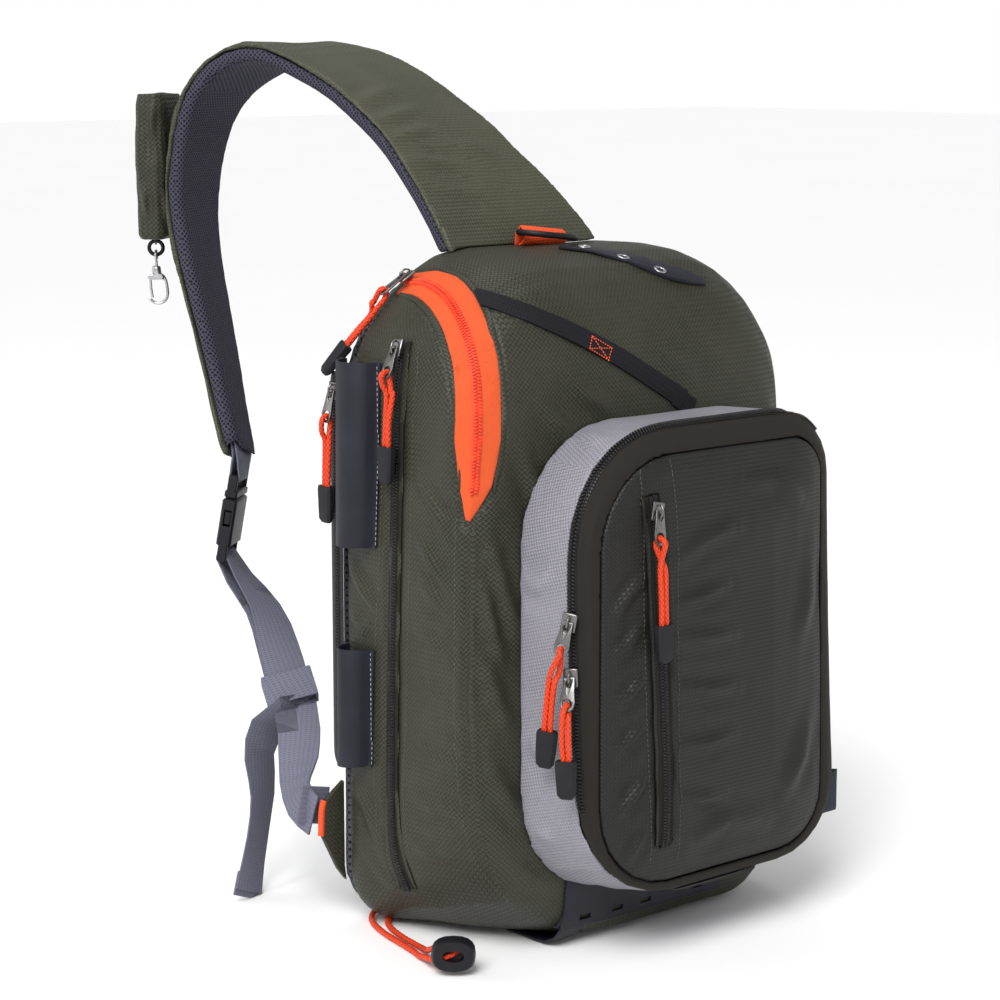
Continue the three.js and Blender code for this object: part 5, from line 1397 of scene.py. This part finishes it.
@dataclass
class Pocket:
    """The front pocket: side wall, zip tape and front panel with its own zip."""

    finishes: Finishes
    front: bpy.types.Object = field(init=False)

    def panel_folds(self) -> list[Fold]:
        """Creases beside the panel's zip and round its lower edge."""
        rows = [
            ([(-28, -130, 252), (-4, -130, 262), (24, -130, 268)], 6.0, 1.0),
            ([(-27, -130, 226), (-6, -130, 228), (14, -130, 232)], 5.0, 1.0),
            ([(-26, -130, 206), (-4, -130, 202), (22, -130, 200)], 5.4, 1.0),
            ([(-26, -130, 176), (-2, -130, 170), (26, -130, 168)], 5.4, 1.0),
            ([(-25, -130, 140), (0, -130, 136), (24, -130, 138)], 5.0, 0.9),
            ([(-25, -130, 108), (-4, -130, 102), (16, -130, 98)], 5.0, 0.9),
            ([(-52, -129, 246), (-62, -128, 236), (-72, -126, 222)], 4.4, 1.2),
            ([(-52, -129, 218), (-62, -128, 206), (-74, -126, 200)], 4.2, 1.2),
            ([(-51, -129, 186), (-60, -128, 176), (-72, -126, 172)], 4.4, 1.2),
            ([(-50, -129, 156), (-60, -128, 148), (-71, -126, 142)], 4.2, 1.1),
            ([(-49, -129, 124), (-58, -128, 112), (-68, -126, 104)], 4.4, 1.2),
            ([(-46, -129, 92), (-54, -128, 80), (-60, -126, 70)], 4.4, 1.0),
            ([(-10, -129, 74), (20, -130, 84), (54, -129, 76)], 8.0, 1.2),
            ([(70, -129, 92), (86, -128, 112), (94, -127, 140)], 8.0, 1.2),
            ([(84, -128, 190), (92, -128, 214), (92, -128, 244)], 8.0, 1.0),
            ([(30, -130, 296), (60, -129, 292), (86, -128, 274)], 7.0, 1.0),
        ]
        return deep_folds(rows)

    def wall_folds(self) -> list[Fold]:
        """Soft dents in the grey side wall."""
        rows = [
            ([(-92, -100, 250), (-95, -84, 240), (-96, -72, 238)], 7.0, 1.0),
            ([(-96, -104, 150), (-97, -90, 140), (-97, -76, 142)], 8.0, 1.1),
            ([(-92, -104, 90), (-93, -90, 82), (-92, -76, 84)], 7.0, 1.0),
            ([(-60, -100, 322), (-56, -86, 326), (-54, -74, 328)], 8.0, 0.9),
            ([(-40, -100, 40), (-36, -86, 38), (-30, -76, 38)], 7.0, 0.9),
        ]
        return deep_folds(rows)

    def build(self) -> None:
        """Builds the pocket's cloth, zips and stitches."""
        wall = Remade(
            "pocket_side_wall", "pocket_wall_cloth", "grey_fabric",
            voxel=1.5 * MM, rounds=5, folds=self.wall_folds(), wave=0.3 * MM,
        )
        wall.build(self.finishes.grey)
        panel = Remade(
            "pocket_panel", "pocket_front_cloth", "olive",
            voxel=1.45 * MM, rounds=4, folds=self.panel_folds(), wave=0.25 * MM,
        )
        # The front cloth takes the darker copy of the olive nylon, which is painted shade.
        self.front = panel.build(self.finishes.panel)
        border = Remade("pocket_zip_tape", "pocket_tape_cloth", "zip_tape", voxel=1.1 * MM, rounds=4, wave=0.0)
        tape = border.build(self.finishes.tape)
        ring = Ribbon.of("pocket_zip_coil", COIL_WIDTH, 12 * MM, 4 * MM)
        follow_uv(tape, ring)
        edge = Zip(
            "pocket_zip_coil", None, None, self.finishes.coil, "zip_tape", "zip_coil",
            pitch=2.2 * MM, bead_width=3.4 * MM, rise=2.2 * MM,
        )
        edge.build(tree_of([tape, bpy.data.objects["pocket_wall_cloth"]]))
        front = Zip(
            "front_zip_coil", "front_zip_tape", self.finishes.tape, self.finishes.coil, "zip_tape", "zip_coil"
        )
        front.lay_tape()
        front.build(Solid(["front_zip_tape"]).tree)
        # The lips take that same darker olive, which is painted shade.
        front.lips(tree_of([self.front]), "front_zip_lip", self.finishes.panel)
        self.sew()

    def sew(self) -> None:
        """Sews both edges of the front zip's placket."""
        tree = tree_of([self.front])
        left = [(-52, -130, 312), (-52, -130, 250), (-50, -130, 190), (-47, -130, 130), (-42, -130, 70)]
        right = [(-27, -131, 314), (-26, -131, 250), (-25, -131, 190), (-23, -131, 130), (-19, -131, 66)]
        for name, line in (("placket_left_stitches", left), ("placket_right_stitches", right)):
            stitch_line(np.array(line) * MM, tree, name, self.finishes.olive_thread)


@dataclass
class ShoulderStrap:
    """The wide padded strap with its lining, pouch and tip webbing."""

    finishes: Finishes

    def build(self) -> None:
        """Builds the strap's cloth, mesh, pouch and webbing."""
        cover = Remade(
            "strap_cover", "strap_cover_cloth", "olive_strap",
            voxel=1.7 * MM, rounds=8, folds=self.creases(), wave=0.7 * MM, wave_size=42 * MM,
        )
        cover.build(self.finishes.strap)
        mesh = Remade("strap_mesh", "strap_mesh_lining", "air_mesh", voxel=1.85 * MM, rounds=8, wave_size=50 * MM)
        lining = mesh.build(self.finishes.mesh)
        pouch = Remade(
            "strap_pouch", "strap_pouch_cloth", "olive",
            voxel=0.9 * MM, rounds=5, folds=self.pouch_folds(), wave=0.4 * MM, wave_size=26 * MM,
        )
        pouch.build(self.finishes.olive)
        dress_webbing("strap_end_webbing", "strap_tip_webbing", self.finishes.webbing, 26 * MM)

    def creases(self) -> list[Fold]:
        """Creases that run in from the strap's left edge below its arch."""
        rows = [
            ([(-62, 128, 517), (-44, 136, 522), (-24, 142, 526)], 5.0, 1.3),
            ([(-62, 113, 506), (-40, 118, 510), (-18, 124, 514)], 4.4, 1.7),
            ([(-61, 100, 495), (-42, 103, 498), (-22, 107, 501)], 4.0, 1.5),
            ([(-58, 86, 482), (-40, 84, 480), (-16, 82, 478)], 4.6, 1.6),
            ([(-52, 70, 466), (-34, 66, 462), (-12, 64, 460)], 5.0, 1.0),
            ([(-20, 96, 491), (4, 92, 488), (24, 84, 480)], 7.0, 1.0),
        ]
        return [Fold(line, width, height) for line, width, height in rows]

    def pouch_folds(self) -> list[Fold]:
        """Gathers in the small pouch's cloth."""
        rows = [
            ([(-132, 268, 512), (-130, 270, 492), (-128, 272, 470)], 2.4, 1.2),
            ([(-122, 264, 516), (-121, 265, 496), (-120, 266, 478)], 2.4, 1.1),
            ([(-136, 274, 460), (-134, 274, 446), (-130, 274, 430)], 2.8, 1.1),
            ([(-124, 266, 456), (-122, 266, 442), (-120, 268, 428)], 2.6, 1.0),
        ]
        return deep_folds(rows)


@dataclass
class BackPanel:
    """The padded back panel, swollen by a short cloth simulation."""

    finishes: Finishes
    voxel: float = 5 * MM
    frames: int = 20
    reach: float = 2.0 * MM

    def build(self) -> None:
        """Builds the pad."""
        piece = copy_of("back_pad")
        modify(piece, "REMESH", mode="VOXEL", voxel_size=self.voxel, adaptivity=0.0)
        modify(piece, "SMOOTH", factor=0.5, iterations=4)
        rest = get_points(piece).copy()
        self.swell(piece, rest)
        modify(piece, "SUBSURF", levels=1, render_levels=1)
        points = get_points(piece)
        points[:, 2] = np.maximum(points[:, 2], 0.5 * MM)
        set_points(piece, points)
        press(piece, self.channels())
        box_uv(piece)
        finish_piece(piece, "back_pad_cloth", self.finishes.back, ["back_pad"], smooth=70)

    def swell(self, piece: bpy.types.Object, rest: np.ndarray) -> None:
        """Swells the pad under a light pressure and caps how far it moves.

        Args:
            piece: the pad.
            rest: its vertices before.
        """
        pick(piece)
        cloth = piece.modifiers.new("cloth", "CLOTH")
        cloth.settings.use_pressure = True
        cloth.settings.uniform_pressure_force = 4
        cloth.settings.effector_weights.gravity = 0
        scene = bpy.context.scene
        for step in range(1, self.frames + 1):
            scene.frame_set(step)
        bpy.ops.object.modifier_apply(modifier=cloth.name)
        scene.frame_set(1)
        move = get_points(piece) - rest
        far = np.linalg.norm(move, axis=1, keepdims=True)
        outward = rest[:, 1:2] > 60 * MM
        cap = np.where(outward, self.reach, 0.0)
        set_points(piece, rest + move * np.minimum(1.0, cap / np.maximum(far, 1e-9)))

    def channels(self) -> list[Fold]:
        """Sewn channels that divide the pad into three cushions."""
        rows = [
            ([(-112, 68, 300), (0, 69, 280), (112, 68, 300)], 4.5, -3.4),
            ([(-112, 68, 160), (0, 69, 140), (112, 68, 160)], 4.5, -3.4),
            ([(-34, 69, 396), (-30, 69, 300)], 4.0, -2.6),
            ([(34, 69, 396), (30, 69, 300)], 4.0, -2.6),
        ]
        return deep_folds(rows)


@dataclass
class Straps:
    """Every flat webbing: lower strap, compression strap, loops and sheets."""

    finishes: Finishes

    def build(self, body: BVHTree) -> None:
        """Builds the webbing.

        Args:
            body: the body's skin.
        """
        lower = dress_webbing("adjuster_webbing", "lower_webbing", self.finishes.webbing, 28 * MM)
        self.hem(lower)
        self.tuck(lower)
        self.compression(body)
        for node in ("rod_tube_upper", "rod_tube_lower", "base_strap", "lash_strip"):
            self.coated(node)
        self.eyelets()
        for node, side, low, high in (("rod_tube_upper", 16.8, 254, 362), ("rod_tube_lower", 25.8, 115, 184)):
            line = np.array([(-136.5, side, low), (-136.5, side, (low + high) / 2), (-136.5, side, high)]) * MM
            stitch_line(line, Solid([node]), node + "_stitches", self.finishes.grey_thread)
        edge = smooth_line(np.array([(-128.5, 62.8, 98), (-146.2, 62.8, 85), (-149.2, 62.8, 62)]) * MM, 1.5 * MM)
        trim = rod(edge[-16:], 2.1 * MM, 12)
        finish_piece(trim, "wing_tab_trim", self.finishes.orange_web, smooth=80)
        for node, name, material, slot in (
            ("side_loop", "side_loop_webbing", self.finishes.navy_webbing, "webbing_black"),
            ("ring_loop", "ring_loop_webbing", self.finishes.orange_web, "orange"),
            ("wing_tab", "wing_tab_cloth", self.finishes.olive, "olive"),
        ):
            loop = copy_of(node)
            round_edges(loop, 0.35 * MM, 2, 50)
            box_uv(loop)
            finish_piece(loop, name, material, [node])

    def tuck(self, lower: Ribbon) -> None:
        """Runs the webbing's other end in behind the tab that holds it."""
        across, way = unit(np.array([0.2, 0.0, 1.0])), unit(np.array([0.97, -0.16, -0.19]))
        at = lower.at[-1] + way * (np.arange(-3, 8) * 2 * MM)[:, None]
        rows = [np.repeat(v[None], len(at), axis=0) for v in (way, across, np.cross(way, across))]
        end = Ribbon(at, *rows, np.full(len(at), 12 * MM))
        piece = strip(end, 1.5 * MM, 8)
        finish_piece(piece, "webbing_tuck", self.finishes.webbing)

    def hem(self, lower: Ribbon) -> None:
        """Folds the webbing's free end over into a sewn hem."""
        count = 9
        end = Ribbon(
            lower.at[:count] + lower.out[:count] * 1.5 * MM,
            lower.along[:count],
            lower.across[:count],
            lower.out[:count],
            lower.half[:count],
        )
        piece = strip(end, 1.3 * MM, 8)
        points = get_points(piece)
        points[:, 2] = np.maximum(points[:, 2], 0.2 * MM)
        set_points(piece, points)
        finish_piece(piece, "webbing_hem", self.finishes.webbing)

    def compression(self, body: BVHTree) -> None:
        """Lays the black strap on the body and sews its box and cross."""
        ribbon = dress_webbing(
            "compression_webbing", "compression_strap", self.finishes.dark_webbing, 13 * MM
        )
        way = -ribbon.along[1]
        spots = [ribbon.at[1] + way * step * 2 * MM for step in range(-2, 8)]
        at = np.array([nearest(body, p)[0] for p in spots])
        up = unit(np.array([nearest(body, p)[1] for p in spots]))
        across = unit(np.cross(up, way))
        tail = Ribbon(at + up * 0.9 * MM, unit(np.gradient(at, axis=0)), across, up, np.full(len(at), 6.4 * MM))
        finish_piece(strip(tail, 1.3 * MM, 6), "compression_end", self.finishes.dark_webbing)
        tree = tree_of([bpy.data.objects["compression_strap"]])
        k = int(np.argmin(((ribbon.at - np.array([-31.0, -64.0, 372.0]) * MM) ** 2).sum(1)))
        _, normal = nearest(body, ribbon.at[k])
        spot = ribbon.at[k]
        along = unit(ribbon.along[k] - normal * (ribbon.along[k] @ normal))
        across = np.cross(along, normal) * 4.2 * MM
        along = along * 8 * MM
        spot = spot + normal * 3 * MM
        corners = [spot + along * a + across * b for a, b in ((-1, -1), (1, -1), (1, 1), (-1, 1), (-1, -1))]
        runs = [np.array(corners), np.array([corners[0], corners[2]]), np.array([corners[1], corners[3]])]
        for number, run in enumerate(runs):
            sides = [np.linspace(a, b, 8, endpoint=False) for a, b in zip(run[:-1], run[1:])]
            line = np.concatenate(sides + [run[-1:]])
            stitch_line(
                line, tree, f"box_stitch_{number}", self.finishes.orange_thread, 2.0 * MM, 0.75 * MM
            )

    def coated(self, node: str) -> None:
        """Rounds and dresses a piece of coated sheet."""
        piece = copy_of(node)
        round_edges(piece, 0.35 * MM, 2, 40)
        box_uv(piece)
        finish_piece(piece, node + "_sheet", self.finishes.sheet, [node])

    def eyelets(self) -> None:
        """Sets three pressed eyelets into the lash strip."""
        tree = Solid(["lash_strip"]).tree
        spots = [(15, 1, 428), (24.5, -25, 423), (41, -41, 415)]
        places = []
        for spot in spots:
            hit, out = nearest(tree, Vector(spot) * MM)
            side = unit(np.cross(out, [0.0, 1.0, 0.0]))
            places.append(place(hit + out * 0.3 * MM, side, np.cross(out, side), out))
        clear_selection()
        bpy.ops.mesh.primitive_torus_add(
            major_radius=3.2 * MM, minor_radius=1.0 * MM, major_segments=32, minor_segments=10, location=(0, 0, 0)
        )
        ring = bpy.context.object
        set_points(ring, get_points(ring) * np.array([1.0, 1.0, 0.6]))
        finish_piece(scatter(ring, places, "eyelets"), "eyelets", self.finishes.nickel, smooth=80)


def dress_webbing(node: str, name: str, material: bpy.types.Material, width: float) -> Ribbon:
    """Dresses a packed webbing with a UV map along its length.

    Args:
        node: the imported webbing.
        name: the piece's name.
        material: its finish.
        width: the webbing's width.

    Returns:
        Its line, from its lower end.
    """
    ribbon = Ribbon.of(node, width, 8 * MM, 2 * MM, top_first=False, soften=1)
    ribbon.half[:] = width / 2 - 0.3 * MM
    piece = copy_of(node)
    round_edges(piece, 0.35 * MM, 2, 50)
    modify(piece, "SUBSURF", levels=1, render_levels=1, subdivision_type="SIMPLE")
    follow_uv(piece, ribbon)
    finish_piece(piece, name, material, [node], smooth=50)
    return ribbon


@dataclass
class Pull:
    """One zip pull: slider, tab, doubled braided cord and rubber end."""

    name: str
    finishes: Finishes
    diameter: float = 3.5 * MM

    def build(self) -> None:
        """Dresses the hard pieces and braids the cord."""
        hard_piece(self.name + "_slider", self.finishes.metal, 0.3 * MM)
        hard_piece(self.name + "_tab", self.finishes.metal, 0.25 * MM)
        end = hard_piece(self.name + "_end", self.finishes.rubber, 0.7 * MM)
        line = cord_line(self.name + "_cord", 0.6 * MM)
        braid = rod(line, self.diameter / 2, CORD_SIDES, 0.22 * MM)
        finish_piece(braid, self.name + "_braid", self.finishes.cord, [self.name + "_cord"], smooth=80)


def cord_line(node: str, step: float) -> np.ndarray:
    """The middle line of a packed cord, in even steps."""
    return Ribbon.of(node, 3.6 * MM, 4.2 * MM, step).at


def hard_piece(
    node: str, material: bpy.types.Material, bevel: float, body: Body = Body.BAG, round_it: int = 0
) -> bpy.types.Object:
    """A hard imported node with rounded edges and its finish.

    Args:
        node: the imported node.
        material: its finish.
        bevel: radius of its edges.
        body: the body it rides on.
        round_it: subdivision levels for what is round all over.

    Returns:
        The piece.
    """
    piece = copy_of(node)
    if round_it:
        modify(piece, "SUBSURF", levels=round_it, render_levels=round_it)
    else:
        round_edges(piece, bevel, 3, 32)
    return finish_piece(piece, node + "_dressed", material, [node], body)


@dataclass
class Hardware:
    """Buckle, rings, snap hook, keeper and cord lock."""

    finishes: Finishes

    def build(self) -> None:
        """Dresses every hard piece."""
        f = self.finishes
        hard_piece("buckle_plug", f.plastic, 0.5 * MM)
        hard_piece("buckle_socket", f.plastic, 0.6 * MM)
        keeper = copy_of("webbing_keeper")
        round_edges(keeper, 0.9 * MM, 3, 50)
        box_uv(keeper)
        finish_piece(keeper, "keeper_webbing", f.webbing, ["webbing_keeper"])
        hard_piece("cord_lock", f.plastic, 0.8 * MM)
        hard_piece("d_ring", f.plastic, 0.0, Body.RING, 2)
        hard_piece("o_ring", f.plastic, 0.0, Body.BAG, 1)
        hard_piece("hook_swivel", f.nickel, 0.0, Body.BAG, 1)
        hard_piece("hook_body", f.nickel, 0.0, Body.HOOK, 2)
        hard_piece("hook_gate", f.nickel, 0.2 * MM, Body.GATE)


@dataclass
class BaseCord:
    """The orange cord laid on the floor from under the base to its cord lock."""

    finishes: Finishes
    diameter: float = 3.8 * MM

    def build(self) -> None:
        """Braids the cord."""
        line = cord_line("base_cord", 0.8 * MM)
        line[:, 2] = np.maximum(line[:, 2], self.diameter / 2 + 0.1 * MM)
        braid = rod(line, self.diameter / 2, CORD_SIDES, 0.24 * MM)
        finish_piece(braid, "base_cord_braid", self.finishes.cord, ["base_cord"], smooth=80)


@dataclass
class Studio:
    """Pale floor, soft lights and the photo's camera."""

    eye: tuple[float, float, float] = (-1.0766, -1.2179, 0.555)
    turn: float = 40.0
    tilt: float = 10.0
    focal: float = 93.6

    def build(self) -> None:
        """Builds the floor, the world, the lights and the camera."""
        clear_selection()
        bpy.ops.mesh.primitive_plane_add(size=30, location=(0, 0, -0.0002))
        floor = bpy.context.object
        floor.name = "floor"
        graph = Graph("floor_paper")
        tone = graph.noise(0.8, 2.0)
        graph.set(Base_Color=graph.mix(tone, (0.95, 0.95, 0.95), (0.98, 0.98, 0.98)), Roughness=0.9)
        floor.data.materials.append(graph.material)
        world = bpy.data.worlds.new("studio")
        world.use_nodes = True
        tree = world.node_tree
        where = tree.nodes.new("ShaderNodeTexCoord")
        parts = tree.nodes.new("ShaderNodeSeparateXYZ")
        glow = tree.nodes.new("ShaderNodeMapRange")
        for name, value in (("From Min", 0.04), ("From Max", 0.3), ("To Min", 1.0), ("To Max", 0.42)):
            glow.inputs[name].default_value = value
        tree.links.new(where.outputs["Generated"], parts.inputs[0])
        tree.links.new(parts.outputs["Z"], glow.inputs[0])
        tree.links.new(glow.outputs[0], tree.nodes["Background"].inputs[1])
        tree.nodes["Background"].inputs[0].default_value = (1, 1, 1, 1)
        bpy.context.scene.world = world
        bpy.context.scene.view_settings.view_transform = "Standard"
        self.sun((-0.72, -0.42, 0.85), 2.5, 34)
        self.light("key", (-1.6, -1.4, 1.9), (-0.02, -0.05, 0.25), 0.7, 14)
        self.light("fill", (1.9, -1.5, 1.1), (0.0, 0.0, 0.25), 1.6, 3)
        self.light("top", (0.1, 0.5, 2.2), (0.0, 0.1, 0.3), 0.8, 8)
        self.light("rim", (-1.7, 1.6, 1.0), (-0.05, 0.1, 0.35), 1.0, 6)
        camera = bpy.data.cameras.new("photo_camera")
        camera.lens = self.focal
        camera.sensor_width = 36
        camera.clip_end = 100
        holder = linked("photo_camera", camera)
        holder.location = self.eye
        holder.rotation_euler = (math.radians(90 - self.tilt), 0, math.radians(-self.turn))
        bpy.context.scene.camera = holder

    def sun(self, source: tuple[float, float, float], strength: float, spread: float) -> None:
        """Adds an even soft light from one side.

        Args:
            source: direction it comes from.
            strength: its strength.
            spread: how wide it looks, in degrees.
        """
        lamp = bpy.data.lights.new("sun", "SUN")
        lamp.energy = strength
        lamp.angle = math.radians(spread)
        linked("sun", lamp).rotation_euler = Vector(source).to_track_quat("Z", "Y").to_euler()

    def light(
        self,
        name: str,
        at: tuple[float, float, float],
        towards: tuple[float, float, float],
        size: float,
        power: float,
    ) -> None:
        """Adds a soft square light.

        Args:
            name: its name.
            at: where it is.
            towards: what it faces.
            size: length of its side.
            power: its power in watts.
        """
        lamp = bpy.data.lights.new(name, "AREA")
        lamp.size = size
        lamp.energy = power
        holder = linked(name, lamp)
        holder.location = at
        holder.rotation_euler = (Vector(towards) - Vector(at)).to_track_quat("-Z", "Y").to_euler()


def main() -> None:
    """Builds the bag piece by piece."""
    logging.basicConfig(level=logging.INFO, format="%(message)s")
    Studio().build()
    finishes = Finishes()
    Hardware(finishes).build()
    for name in ("main_pull", "side_pull", "back_pull", "pocket_pull_upper", "pocket_pull_lower", "front_pull"):
        Pull(name, finishes).build()
    BaseCord(finishes).build()
    shell = Shell(finishes)
    shell.build()
    shell.sew()
    body = tree_of([shell.skin])
    BackPanel(finishes).build()
    main_zip = Zip(
        "main_zip_coil", "main_zip_tape", finishes.orange_tape, finishes.orange_coil, "orange", "orange"
    )
    main_zip.lay_tape()
    main_zip.build(Solid(["main_zip_tape"]).tree)
    main_zip.lips(body, "main_zip_lip", finishes.olive)
    side_zip = Zip("side_zip_coil", "side_zip_tape", finishes.tape, finishes.coil, "zip_tape", "zip_coil")
    side_zip.lay_tape()
    side_zip.build(Solid(["side_zip_tape"]).tree)
    side_zip.lips(body, "side_zip_lip", finishes.olive)
    back_zip = Zip("back_zip_coil", None, None, finishes.coil, "zip_tape", "zip_coil", base_half=5.6 * MM)
    back_zip.build(Solid(["back_zip_coil"]).tree)
    Pocket(finishes).build()
    ShoulderStrap(finishes).build()
    Straps(finishes).build(body)


if __name__ == "__main__":
    main()
